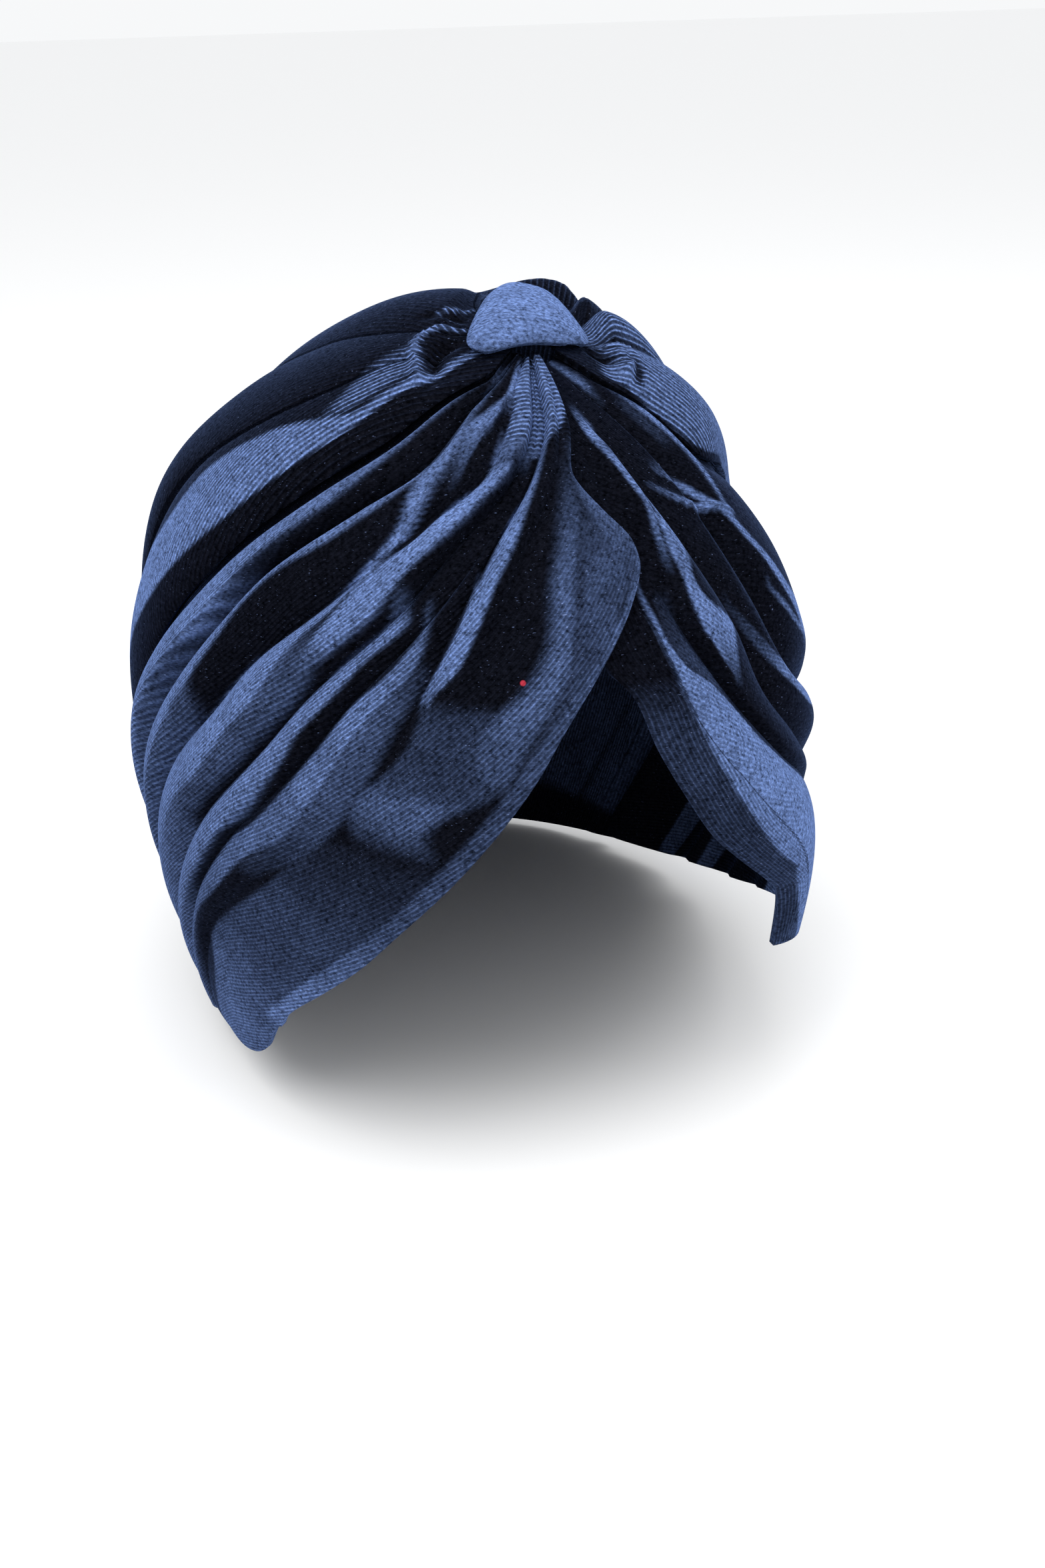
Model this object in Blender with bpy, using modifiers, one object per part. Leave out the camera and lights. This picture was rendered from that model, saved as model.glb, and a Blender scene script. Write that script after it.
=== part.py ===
"""Turban headwrap in gathered velvet: a crown, two pleated drapes and a knot band.

Every cloth piece is an open sheet, shaped over the hollow that the headwrap encloses, with a
Solidify modifier for its wall. A place on a sheet is given by two angles seen from the centre
of the hollow: "fall", how far the place lies below the knot, and "turn", how far round the
knot it lies from the front, positive towards +X. Its rise is its distance outside the hollow.
"""
import math

import bpy
from mathutils import Vector

# Driving dimensions in metres: the hollow, measured from its widest level, where z is 0
HOLLOW_WIDTH = 0.150
HOLLOW_LENGTH = 0.192
HOLLOW_HEIGHT = 0.110
HOLLOW_DEPTH = 0.120

# How far the hem hangs below the widest level at the nape
HEM_DROP = 0.056

# Cloth: its wall, the gap between two sheets, how far the creases stand off the hollow, and the
# gap between the crown's edge and the fold beside it
WALL = 0.0016
CLEARANCE = 0.0004
EASE = 0.0005
CREASE_GAP = 0.0012

# Heights that the folds stand above their creases
CROWN_PUFF = 0.0100
PLEAT_HEIGHT = 0.0070

# Knot band: its width at the front and at the back, how far it runs from the knot's centre to
# the front and to the back, how far its back end leans to +X, how far its front end is skewed
# back on that side, how far that end's rim arches back between its corners, and how high it puffs up
BAND_FRONT_WIDTH = 0.033
BAND_BACK_WIDTH = 0.014
BAND_FRONT_REACH = 0.009
BAND_BACK_REACH = 0.032
BAND_LEAN = 0.0085
BAND_SKEW = 0.0025
BAND_ARCH = 0.0045
BAND_PUFF = 0.0032

# How much the band's corners are cut from its sides and from its ends, as shares of the squares
# of its half width and half length, how close to the corners each cut keeps, and how squarely
# the band's puff ends at its sides and at its ends
BAND_CORNERS = (0.42, 0.30)
BAND_CORNER_POWERS = (6, 4)
BAND_SQUARENESS = (3, 5)

# The arch of the band's front rim at its middle, and how much deeper it is towards +X, as shares
BAND_ARCH_SHAPE = (0.75, 0.60)

# The band presses the gather down to this much above a crease. The cloth rises again from the
# first to the second of these distances beside its rim, and more slowly, by this factor, behind it
PRESSED_RISE = 0.0021
PRESSED_MARGINS = (0.0025, 0.0080)
PRESSED_BEHIND = 0.55

# Where the knot sits: degrees towards +X from the front, and above the horizontal
KNOT_TURN = 20.0
KNOT_LIFT = 76.0

# The gather starts this many degrees from the knot's centre, under the band
GATHER_START = 3.0

# How far a tucked edge runs on under the fold that covers it, and how far beyond the flap's edge
# the folds under it reach their full height
TUCK = 0.0045
FLAP_MARGIN = 0.0015
FLAP_EASE = 0.0080

# The flap comes down onto the hollow between these falls, and every hem lies between these. The
# search for a hem halves them this many times
FLAP_LANDS = (45, 70)
HEM_FALLS = (60, 150)
HEM_HALVINGS = 30

# Steps down each sheet from the knot to the hem, and the columns across each strip between two
# creases. The band's columns and rows
CROWN_ROWS = 22
RIGHT_ROWS = 23
LEFT_ROWS = 20
CROWN_COLUMNS = (7, 6, 5, 5, 5, 7)
RIGHT_COLUMNS = (1, 6, 6, 6, 4, 4, 3, 6)
LEFT_COLUMNS = (1, 8, 6, 5, 7)
BAND_GRID = (10, 14)

# Power that packs the rows near the knot, and power that rounds the folds' tops
ROW_PACKING = 1.2
FOLD_ROUNDNESS = 0.9

# Least share of a pleat's width on either side of its crest
CREST_MARGIN = 0.06

CLOTH_COLOURS = {
    "crown": (0.016, 0.021, 0.062, 1.0),
    "right_drape": (0.018, 0.024, 0.070, 1.0),
    "left_drape": (0.014, 0.019, 0.056, 1.0),
    "knot_band": (0.022, 0.030, 0.084, 1.0),
}

# Degrees of fall at which the fold tables below give a value
FALL = (8, 14, 22, 30, 40, 50, 60, 75, 95, 125)

# Pleats of the drape on the right, from the crown to the front. At each fall of the tables: the
# turn of the crease that the pleat starts from, the turn of its crest, and the crest's height
# above the creases as a share of PLEAT_HEIGHT
RIGHT_PLEATS = {
    "beside_crown": {
        "crease": (-38, -49, -56, -66, -76, -84, -91, -99, -104, -113),
        "crest": (-37, -46, -50.5, -57, -66, -72.5, -80, -90, -98, -108),
        "height": (0.20, 0.40, 0.55, 0.75, 0.95, 1.00, 1.00, 0.90, 0.65, 0.25)},
    "second": {
        "crease": (-36, -40, -43, -53, -65, -72, -79, -88, -96, -106),
        "crest": (-34, -37, -37, -49, -60.5, -66.5, -71, -79, -88, -100),
        "height": (0.15, 0.25, 0.40, 0.55, 0.70, 0.80, 0.85, 0.75, 0.45, 0.18)},
    "middle": {
        "crease": (-24, -23, -26, -38, -49, -59.5, -66, -76.5, -86, -97),
        "crest": (-15, -14, -20, -30, -39, -51, -57.5, -67, -78, -91),
        "height": (0.20, 0.30, 0.45, 0.60, 0.70, 0.80, 0.80, 0.70, 0.38, 0.14)},
    "fourth": {
        "crease": (-12, -12, -18, -27.5, -36, -45.5, -52, -62, -72, -85),
        "crest": (-11, -11, -17, -26, -33, -41, -47.5, -56.5, -67, -79),
        "height": (0.05, 0.05, 0.05, 0.08, 0.28, 0.45, 0.55, 0.55, 0.35, 0.12)},
    "fifth": {
        "crease": (-9.5, -9.5, -15.5, -22, -30, -38.5, -44.5, -55, -65, -75),
        "crest": (-8.5, -8.5, -14, -20.5, -28.5, -34, -38.5, -49.5, -61, -71),
        "height": (0.05, 0.05, 0.05, 0.10, 0.25, 0.40, 0.45, 0.42, 0.32, 0.12)},
    "seam_ridge": {
        "crease": (-6, -6.5, -13, -20, -25, -28.5, -33, -45.5, -58.5, -68),
        "crest": (-4, -4.5, -11, -16.5, -21.5, -25, -29, -43, -56, -65),
        "height": (0.25, 0.35, 0.45, 0.50, 0.45, 0.22, 0.06, 0.03, 0.00, 0.00)},
    "flap": {
        "crease": (1, -1, -6, -13, -18, -21, -25, -41, -52, -61),
        "crest": (3, 1.5, -2.5, -3, -6, -13, -20, -33, -45, -54),
        "height": (0.03, 0.06, 0.16, 0.28, 0.32, 0.28, 0.20, 0.16, 0.10, 0.06)},
}

# Pleats of the drape on the left, from the crown to the front
LEFT_PLEATS = {
    "beside_crown": {
        "crease": (48, 58, 62, 86, 100, 105, 109, 112, 115, 122),
        "crest": (45, 54, 54, 48.5, 57, 66, 78, 90, 98, 106),
        "height": (0.20, 0.35, 0.45, 0.60, 0.75, 0.75, 0.75, 0.75, 0.65, 0.35)},
    "second": {
        "crease": (30, 36, 40, 42, 46, 50, 66, 84, 92, 100),
        "crest": (28, 34, 38, 39, 40, 45, 57, 76, 86, 94),
        "height": (0.05, 0.08, 0.10, 0.15, 0.30, 0.45, 0.55, 0.60, 0.55, 0.35)},
    "puckered": {
        "crease": (12, 17, 22, 28, 34, 37, 48, 66, 78, 86),
        "crest": (10, 13, 16.5, 20, 21.5, 29, 42, 62, 73, 81),
        "height": (0.20, 0.35, 0.50, 0.60, 0.60, 0.35, 0.25, 0.20, 0.20, 0.15)},
    "beside_hem": {
        "crease": (4, 6, 9, 13, 19, 27.5, 39, 59, 68, 76),
        "crest": (3, 4, 5, 8, 11.7, 15.5, 24, 38, 44, 46),
        "height": (0.02, 0.05, 0.08, 0.12, 0.35, 0.60, 0.75, 0.75, 0.50, 0.35)},
}

# The crown's soft valleys, from the right drape round the back to the left drape
CROWN_VALLEYS = {
    "above_right": (-70, -84, -88, -95, -104, -110, -115, -119, -124, -132),
    "pouch_back": (-100, -112, -125, -133, -138, -141, -144, -147, -150, -155),
    "centre_back": (-150, -170, -180, -180, -180, -180, -180, -180, -180, -180),
    "first_puff": (-215, -221, -222, -222, -221, -220, -219, -217, -214, -210),
    "second_puff": (-258, -252, -248, -247, -245, -243, -241, -238, -235, -230),
}

# How high each crown valley lies, and each puff beyond it, as shares of CROWN_PUFF
CROWN_FLOORS = (
    (0.25, 0.30, 0.40, 0.50, 0.58, 0.62, 0.58, 0.52, 0.36, 0.14),
    (0.32, 0.24, 0.12, 0.08, 0.28, 0.48, 0.58, 0.58, 0.42, 0.16),
    (0.40, 0.36, 0.30, 0.34, 0.42, 0.50, 0.55, 0.55, 0.42, 0.16),
    (0.42, 0.56, 0.60, 0.58, 0.54, 0.56, 0.60, 0.58, 0.44, 0.16),
    (0.40, 0.50, 0.54, 0.50, 0.50, 0.50, 0.50, 0.48, 0.38, 0.14),
)
CROWN_FOLDS = (
    (0.08, 0.15, 0.22, 0.30, 0.35, 0.37, 0.38, 0.36, 0.25, 0.12),
    (0.05, 0.08, 0.10, 0.12, 0.20, 0.38, 0.48, 0.42, 0.28, 0.12),
    (0.05, 0.08, 0.10, 0.10, 0.10, 0.10, 0.10, 0.08, 0.06, 0.04),
    (0.32, 0.88, 0.90, 0.50, 0.24, 0.15, 0.12, 0.10, 0.06, 0.03),
    (0.12, 0.32, 0.30, 0.20, 0.15, 0.12, 0.10, 0.08, 0.05, 0.03),
    (0.15, 0.25, 0.38, 0.40, 0.36, 0.34, 0.32, 0.28, 0.20, 0.10),
)

# Which way each crown fold leans: under 1 towards the valley before it, over 1 towards the next
CROWN_LEANS = (0.7, 0.6, 1.0, 1.6, 1.0, 0.9)

# The flap's free edge, from the knot down to its lower corner: fall and turn
FLAP_EDGE = (
    (3, 7), (14, 4), (18, 1), (21, 0), (25, 6), (28, 11), (30, 12), (32, 11.5), (36, 7.5),
    (43, 0), (49, -5.5), (55, -9.5), (67, -18), (76, -24.5), (83, -29), (90, -34), (97, -39),
    (102, -41.5), (125, -46),
)

# The left drape's front edge: hidden under the flap, then its hem beside the face
LEFT_FRONT_EDGE = (
    (3, 2.6), (8, 2.5), (14, 0.8), (22, -3), (30, -4), (38, 0), (43, 2.5), (46, 6), (52, 9), (58, 13),
    (64, 17.5), (69, 23), (75, 30), (79, 34), (85, 35.5), (125, 35.5),
)

# The hem's level round the head: turn, and drop as a share of HEM_DROP
HEM = (
    (-180, 1.0), (-120, 0.95), (-90, 0.90), (-60, 0.82), (-52, 0.80), (-46, 0.70), (-42, 0.50),
    (0, 0.40), (34, 0.36), (46, 0.40), (60, 0.52), (75, 0.68), (90, 0.80), (120, 0.94), (180, 1.0),
)


def knot_axes():
    """Axes of the knot: outwards through its centre, towards the front, and towards +X."""
    turn, lift = math.radians(KNOT_TURN), math.radians(KNOT_LIFT)
    out = Vector((math.sin(turn) * math.cos(lift), -math.cos(turn) * math.cos(lift), math.sin(lift)))
    front = Vector((0, -1, 0))
    front = (front - out * front.dot(out)).normalized()
    return out, front, out.cross(front)


def direction(fall, turn):
    """Unit vector from the centre of the hollow to a place given by its fall and turn."""
    out, front, side = knot_axes()
    fall, turn = math.radians(fall), math.radians(turn)
    across = front * math.cos(turn) + side * math.sin(turn)
    return out * math.cos(fall) + across * math.sin(fall)


def hollow_radius(way):
    """Distance from the centre to the hollow's surface along a unit vector."""
    height = HOLLOW_HEIGHT if way.z > 0 else HOLLOW_DEPTH
    scaled = Vector((2 * way.x / HOLLOW_WIDTH, 2 * way.y / HOLLOW_LENGTH, way.z / height))
    return 1 / scaled.length


def place(fall, turn, rise):
    """Point at a fall and turn, a rise outside the hollow."""
    way = direction(fall, turn)
    return way * (hollow_radius(way) + rise)


def smooth_between(knots, values, x):
    """Value at x of a smooth curve through a table, held at its ends."""
    if x <= knots[0]:
        return values[0]
    if x >= knots[-1]:
        return values[-1]
    i = max(k for k in range(len(knots) - 1) if knots[k] <= x)

    def slope(k):
        lo, hi = max(k - 1, 0), min(k + 1, len(knots) - 1)
        return (values[hi] - values[lo]) / (knots[hi] - knots[lo])

    span = knots[i + 1] - knots[i]
    t = (x - knots[i]) / span
    start, end = slope(i) * span, slope(i + 1) * span
    rest = 1 - t
    return (values[i] * rest * rest * (1 + 2 * t) + values[i + 1] * t * t * (3 - 2 * t)
            + start * t * rest * rest - end * t * t * rest)


def at_fall(row, fall):
    """Value of a fold table's row at a fall."""
    return smooth_between(FALL, row, fall)


def on_edge(edge, fall):
    """Turn of a free edge at a fall."""
    return smooth_between([p[0] for p in edge], [p[1] for p in edge], fall)


def hem_drop(turn):
    """How far the hem lies below the widest level at a turn."""
    turn = (turn + 180) % 360 - 180
    return HEM_DROP * smooth_between([p[0] for p in HEM], [p[1] for p in HEM], turn)


def hem_fall(turn_at):
    """Fall at which a line down the cloth, given by its turn at each fall, meets the hem."""
    low, high = HEM_FALLS
    for _ in range(HEM_HALVINGS):
        middle = (low + high) / 2
        turn = turn_at(middle)
        if place(middle, turn, 0).z > -hem_drop(turn):
            low = middle
        else:
            high = middle
    return high


def puffed(t, lean):
    """Height of a crown fold across its width, as a share: lean moves its top to one side."""
    return math.sin(math.pi * t ** lean) ** FOLD_ROUNDNESS


def folded(t, top):
    """Height of a pleat across its width, as a share: its crest lies at the share top."""
    top = min(max(top, CREST_MARGIN), 1 - CREST_MARGIN)
    side = t / top if t < top else (1 - t) / (1 - top)
    return math.sin(math.pi / 2 * side) ** FOLD_ROUNDNESS


def degrees_across(length, fall):
    """Turn that spans a length of cloth at a fall."""
    return math.degrees(length / (HOLLOW_HEIGHT * math.sin(math.radians(max(fall, GATHER_START)))))


def make_sheet(name, columns, rows, turn_and_rise):
    """Grid sheet from the knot to the hem, given turn and rise at a column share and a fall."""
    bpy.ops.mesh.primitive_grid_add(x_subdivisions=columns, y_subdivisions=rows, size=1)
    sheet = bpy.context.object
    sheet.name = name
    sheet.data.name = name
    ends = [hem_fall(lambda fall, c=c: turn_and_rise(c / columns, fall)[0]) for c in range(columns + 1)]
    for vertex in sheet.data.vertices:
        column = round((vertex.co.x + 0.5) * columns)
        down = (0.5 - vertex.co.y) ** ROW_PACKING
        fall = GATHER_START + (ends[column] - GATHER_START) * down
        turn, rise = turn_and_rise(column / columns, fall)
        vertex.co = place(fall, turn, rise)
    return sheet


def give_wall(sheet):
    """Cloth wall inside the sheet, and smooth shading."""
    wall = sheet.modifiers.new("wall", "SOLIDIFY")
    wall.thickness = WALL
    wall.offset = -1
    sheet.data.shade_smooth()


def face_out(sheet):
    """Turn the sheet's faces so that they point away from the hollow."""
    first = sheet.data.polygons[len(sheet.data.polygons) // 2]
    if first.normal.dot(first.center) < 0:
        sheet.data.flip_normals()


def dress(thing):
    """Plain velvet material in the piece's colour, and its place in the headwrap's collection."""
    material = bpy.data.materials.new(thing.name + "_velvet")
    material.use_nodes = True
    shader = material.node_tree.nodes["Principled BSDF"]
    shader.inputs["Base Color"].default_value = CLOTH_COLOURS[thing.name]
    shader.inputs["Roughness"].default_value = 0.85
    shader.inputs["Metallic"].default_value = 0.0
    shader.inputs["Sheen Weight"].default_value = 0.8
    thing.data.materials.append(material)
    for owner in list(thing.users_collection):
        owner.objects.unlink(thing)
    bpy.data.collections["turban_headwrap"].objects.link(thing)


def across(counts, share):
    """Strip number and share across it, for a share of the whole sheet's columns."""
    column = share * sum(counts)
    strip = 0
    while strip < len(counts) - 1 and column > counts[strip]:
        column -= counts[strip]
        strip += 1
    return strip, min(column / counts[strip], 1)


# Rise of a crease's outer side above the hollow, of cloth that lies over another sheet, and of
# the cloth that the band presses down
CREASE = EASE + WALL
OVER = CREASE + CLEARANCE + WALL
PRESSED = CREASE + PRESSED_RISE


def band_half_width(forward):
    """Half of the band's width at a distance forward of the knot's centre."""
    back_share = (BAND_FRONT_REACH - forward) / (BAND_FRONT_REACH + BAND_BACK_REACH)
    back_share = min(max(back_share, 0), 1)
    return (BAND_FRONT_WIDTH + (BAND_BACK_WIDTH - BAND_FRONT_WIDTH) * back_share) / 2


def band_middle(forward):
    """How far the band's middle line lies to +X at a distance forward of the knot's centre."""
    return -BAND_LEAN * forward / BAND_BACK_REACH


def pressed(turn, rise, fall):
    """Rise of the gather where the band lies on it or beside it."""
    reach = (HOLLOW_HEIGHT + PRESSED) * math.sin(math.radians(fall))
    forward, sideways = reach * math.cos(math.radians(turn)), reach * math.sin(math.radians(turn))
    beside = abs(sideways - band_middle(forward)) - band_half_width(forward)
    behind = PRESSED_BEHIND * (-forward - BAND_BACK_REACH)
    outside = max(beside, forward - BAND_FRONT_REACH, behind)
    hold = 1 - smooth_between(PRESSED_MARGINS, (0, 1), outside)
    return rise + (min(rise, PRESSED) - rise) * hold


def pleat_at(pleats, first_turn, last_turn, strip, t, fall):
    """Turn and height of a drape's strip, which starts with the tucked edge before the first pleat."""
    rows = list(pleats.values())
    turns = [first_turn] + [at_fall(row["crease"], fall) for row in rows] + [last_turn]
    start, end = turns[strip], turns[strip + 1]
    turn = start + (end - start) * t
    if strip == 0:
        return turn, 0
    row = rows[strip - 1]
    crest = (at_fall(row["crest"], fall) - start) / (end - start)
    return turn, PLEAT_HEIGHT * at_fall(row["height"], fall) * folded(t, crest)


def right_drape_at(share, fall):
    """Turn and rise of the drape on the right."""
    strip, t = across(RIGHT_COLUMNS, share)
    tucked = at_fall(RIGHT_PLEATS["beside_crown"]["crease"], fall) - degrees_across(TUCK, fall)
    turn, height = pleat_at(RIGHT_PLEATS, tucked, on_edge(FLAP_EDGE, fall), strip, t, fall)
    lifted = (OVER - CREASE) * (1 - smooth_between(FLAP_LANDS, (0, 1), fall))
    flap = len(RIGHT_COLUMNS) - 1
    rise = CREASE + height
    if strip == flap:
        rise += lifted
    elif strip == flap - 1:
        rise += lifted * t
    return turn, pressed(turn, rise, fall)


def left_drape_at(share, fall):
    """Turn and rise of the drape on the left."""
    strip, t = across(LEFT_COLUMNS, share)
    tucked = at_fall(LEFT_PLEATS["beside_crown"]["crease"], fall) + degrees_across(TUCK, fall)
    turn, height = pleat_at(LEFT_PLEATS, tucked, on_edge(LEFT_FRONT_EDGE, fall), strip, t, fall)
    beyond_flap = (turn - on_edge(FLAP_EDGE, fall)) / degrees_across(1, fall) - FLAP_MARGIN
    height *= smooth_between((0, FLAP_EASE), (0, 1), beyond_flap)
    return turn, pressed(turn, CREASE + height, fall)


def crown_at(share, fall):
    """Turn and rise of the crown, whose two edges end on the drapes beside their creases."""
    strip, t = across(CROWN_COLUMNS, share)
    gap = degrees_across(CREASE_GAP, fall)
    turns = [at_fall(RIGHT_PLEATS["beside_crown"]["crease"], fall) - gap]
    turns += [at_fall(row, fall) for row in CROWN_VALLEYS.values()]
    turns.append(at_fall(LEFT_PLEATS["beside_crown"]["crease"], fall) - 360 + gap)
    floors = [OVER] + [CREASE + CROWN_PUFF * at_fall(row, fall) for row in CROWN_FLOORS] + [OVER]
    turn = turns[strip] + (turns[strip + 1] - turns[strip]) * t
    rise = floors[strip] + (floors[strip + 1] - floors[strip]) * t
    rise += CROWN_PUFF * at_fall(CROWN_FOLDS[strip], fall) * puffed(t, CROWN_LEANS[strip])
    return turn, pressed(turn, rise, fall)


def make_crown():
    """Crown: top and back of the headwrap."""
    crown = make_sheet("crown", sum(CROWN_COLUMNS), CROWN_ROWS, crown_at)
    face_out(crown)
    give_wall(crown)
    dress(crown)


def make_right_drape():
    """Pleated drape on the right with the flap that crosses the forehead."""
    drape = make_sheet("right_drape", sum(RIGHT_COLUMNS), RIGHT_ROWS, right_drape_at)
    face_out(drape)
    give_wall(drape)
    dress(drape)


def make_left_drape():
    """Pleated drape on the left, which starts under the flap."""
    drape = make_sheet("left_drape", sum(LEFT_COLUMNS), LEFT_ROWS, left_drape_at)
    face_out(drape)
    give_wall(drape)
    dress(drape)


def make_knot_band():
    """Band over the gather, a cushion-like strap whose rims turn down onto the cloth."""
    bpy.ops.mesh.primitive_grid_add(x_subdivisions=BAND_GRID[0], y_subdivisions=BAND_GRID[1], size=1)
    band = bpy.context.object
    band.name = "knot_band"
    band.data.name = "knot_band"
    side_cut, end_cut = BAND_CORNERS
    side_reach, end_reach = BAND_CORNER_POWERS
    side_power, end_power = BAND_SQUARENESS
    arch_middle, arch_lean = BAND_ARCH_SHAPE
    for vertex in band.data.vertices:
        w, v = 2 * vertex.co.x, 2 * vertex.co.y
        rim = 1 - (1 - abs(w) ** side_power) * (1 - abs(v) ** end_power)
        w, v = (w * math.sqrt(1 - side_cut * v ** side_reach),
                v * math.sqrt(1 - end_cut * w ** end_reach))
        ahead = (1 + v) / 2
        forward = BAND_FRONT_REACH * ahead - BAND_BACK_REACH * (1 - ahead)
        sideways = band_middle(forward) + w * band_half_width(forward)
        arched = (1 - w * w) * (arch_middle + arch_lean * w)
        forward -= (BAND_SKEW * w + BAND_ARCH * arched) * ahead
        fall = math.degrees(math.asin(math.hypot(forward, sideways) / (HOLLOW_HEIGHT + PRESSED)))
        turn = math.degrees(math.atan2(sideways, forward))
        vertex.co = place(fall, turn, PRESSED + CLEARANCE + WALL + BAND_PUFF * (1 - rim))
    face_out(band)
    give_wall(band)
    dress(band)


def build():
    """Clear the scene and build the headwrap's pieces."""
    for thing in list(bpy.data.objects):
        bpy.data.objects.remove(thing)
    group = bpy.data.collections.new("turban_headwrap")
    bpy.context.scene.collection.children.link(group)
    make_crown()
    make_right_drape()
    make_left_drape()
    make_knot_band()


build()
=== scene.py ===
"""Turban headwrap in gathered navy velvet: the looks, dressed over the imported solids.

Each cloth piece is a fine grid, laid over the hollow that the headwrap encloses. A place on a
piece is given by two angles seen from the centre of the hollow: "fall", how far the place lies
below the knot, and "turn", how far round the knot it lies from the front, positive towards +X.
Its rise is its distance outside the hollow. Lengths are in metres and angles in degrees.
"""
import logging
import math
from collections.abc import Callable
from dataclasses import dataclass, field
from enum import Enum

import bpy
import numpy as np
from mathutils import Matrix, Vector


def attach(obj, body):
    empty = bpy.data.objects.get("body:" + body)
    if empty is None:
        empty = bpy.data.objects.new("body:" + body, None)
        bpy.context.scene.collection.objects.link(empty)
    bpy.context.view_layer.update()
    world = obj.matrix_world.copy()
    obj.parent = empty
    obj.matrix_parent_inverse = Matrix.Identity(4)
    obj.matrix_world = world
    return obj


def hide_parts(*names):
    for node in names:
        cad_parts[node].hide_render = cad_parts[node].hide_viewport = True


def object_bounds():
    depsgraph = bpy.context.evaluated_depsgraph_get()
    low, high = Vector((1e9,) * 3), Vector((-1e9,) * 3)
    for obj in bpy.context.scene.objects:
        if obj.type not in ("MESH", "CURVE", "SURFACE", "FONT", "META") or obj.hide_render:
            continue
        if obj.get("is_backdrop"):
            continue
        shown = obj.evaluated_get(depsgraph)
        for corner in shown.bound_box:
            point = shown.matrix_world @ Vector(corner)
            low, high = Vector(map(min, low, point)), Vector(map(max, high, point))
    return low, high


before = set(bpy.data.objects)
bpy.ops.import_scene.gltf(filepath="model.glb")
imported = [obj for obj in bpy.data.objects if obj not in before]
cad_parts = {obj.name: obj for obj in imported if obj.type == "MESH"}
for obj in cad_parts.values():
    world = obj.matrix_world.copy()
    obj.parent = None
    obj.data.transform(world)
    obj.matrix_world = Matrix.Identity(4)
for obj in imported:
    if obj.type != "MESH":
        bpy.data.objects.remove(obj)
log = logging.getLogger("headwrap")

Array = np.ndarray
Socket = bpy.types.NodeSocket
MM = 0.001

# Degrees of fall at which the fold tables give a value
FALL = (8, 14, 22, 30, 40, 50, 60, 75, 95, 125)

# Fall at which the sheets start under the band, falls between which the hem is sought, how often
# that range is halved, and falls over which the flap comes down onto the head
GATHER_START = 3.0
HEM_FALLS = (60.0, 150.0)
HEM_HALVINGS = 30
FLAP_LANDS = (45, 70)

# Least share of a pleat's width on either side of its crest, and fullness of every fold's sides
CREST_MARGIN = 0.06
FOLD_FULLNESS = 0.9

# Points per step of a small fold's line, share of its shine's width from which the shine fades,
# and degrees of fall over which a bright band fades at its ends
LINE_POINTS = 6
SHINE_FADE = 0.4
BAND_FADE = 2.5


@dataclass(frozen=True)
class Pleat:
    """One fold of a drape, from its crease to the next one, at each fall of the tables.

    Its crease and crest are degrees of turn, and its height is a share of the pleat height.
    """

    crease: tuple
    crest: tuple
    height: tuple
    crisp: float = FOLD_FULLNESS


# The drape on the right, from the crown to the front
RIGHT_PLEATS = (
    Pleat(crease=(-38, -49, -56, -66, -76, -84, -91, -99, -104, -113),
          crest=(-37, -46, -50.5, -57, -66, -72.5, -80, -90, -98, -108),
          height=(0.20, 0.40, 0.55, 0.75, 0.95, 1.00, 1.00, 0.90, 0.65, 0.25)),
    Pleat(crease=(-36, -40, -43, -53, -65, -72, -79, -88, -96, -106),
          crest=(-34, -37, -37, -49, -60.5, -66.5, -71, -79, -88, -100),
          height=(0.15, 0.25, 0.40, 0.55, 0.70, 0.80, 0.85, 0.75, 0.45, 0.18)),
    Pleat(crease=(-24, -23, -26, -38, -49, -59.5, -66, -76.5, -86, -97),
          crest=(-15, -14, -20, -30, -39, -51, -57.5, -67, -78, -91),
          height=(0.20, 0.30, 0.45, 0.60, 0.70, 0.80, 0.80, 0.70, 0.38, 0.14)),
    Pleat(crease=(-12, -12, -18, -27.5, -36, -45.5, -52, -62, -72, -85),
          crest=(-11, -11, -17, -26, -33, -41, -47.5, -56.5, -67, -79),
          height=(0.05, 0.05, 0.05, 0.08, 0.28, 0.45, 0.55, 0.55, 0.35, 0.12)),
    Pleat(crease=(-9.5, -9.5, -15.5, -22, -30, -38.5, -44.5, -55, -65, -75),
          crest=(-8.5, -8.5, -14, -20.5, -28.5, -34, -38.5, -49.5, -61, -71),
          height=(0.05, 0.05, 0.05, 0.10, 0.25, 0.40, 0.45, 0.42, 0.32, 0.12)),
    Pleat(crease=(-6, -6.5, -13, -20, -25, -28.5, -33, -45.5, -58.5, -68),
          crest=(-4, -4.5, -11, -16.5, -21.5, -25, -29, -43, -56, -65),
          height=(0.25, 0.35, 0.45, 0.50, 0.45, 0.22, 0.06, 0.03, 0.00, 0.00), crisp=1.1),
    Pleat(crease=(1, -1, -6, -13, -18, -21, -25, -41, -52, -61),
          crest=(3, 1.5, -2.5, -3, -6, -13, -20, -33, -45, -54),
          height=(0.03, 0.06, 0.16, 0.28, 0.32, 0.28, 0.20, 0.16, 0.10, 0.06)),
)

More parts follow.
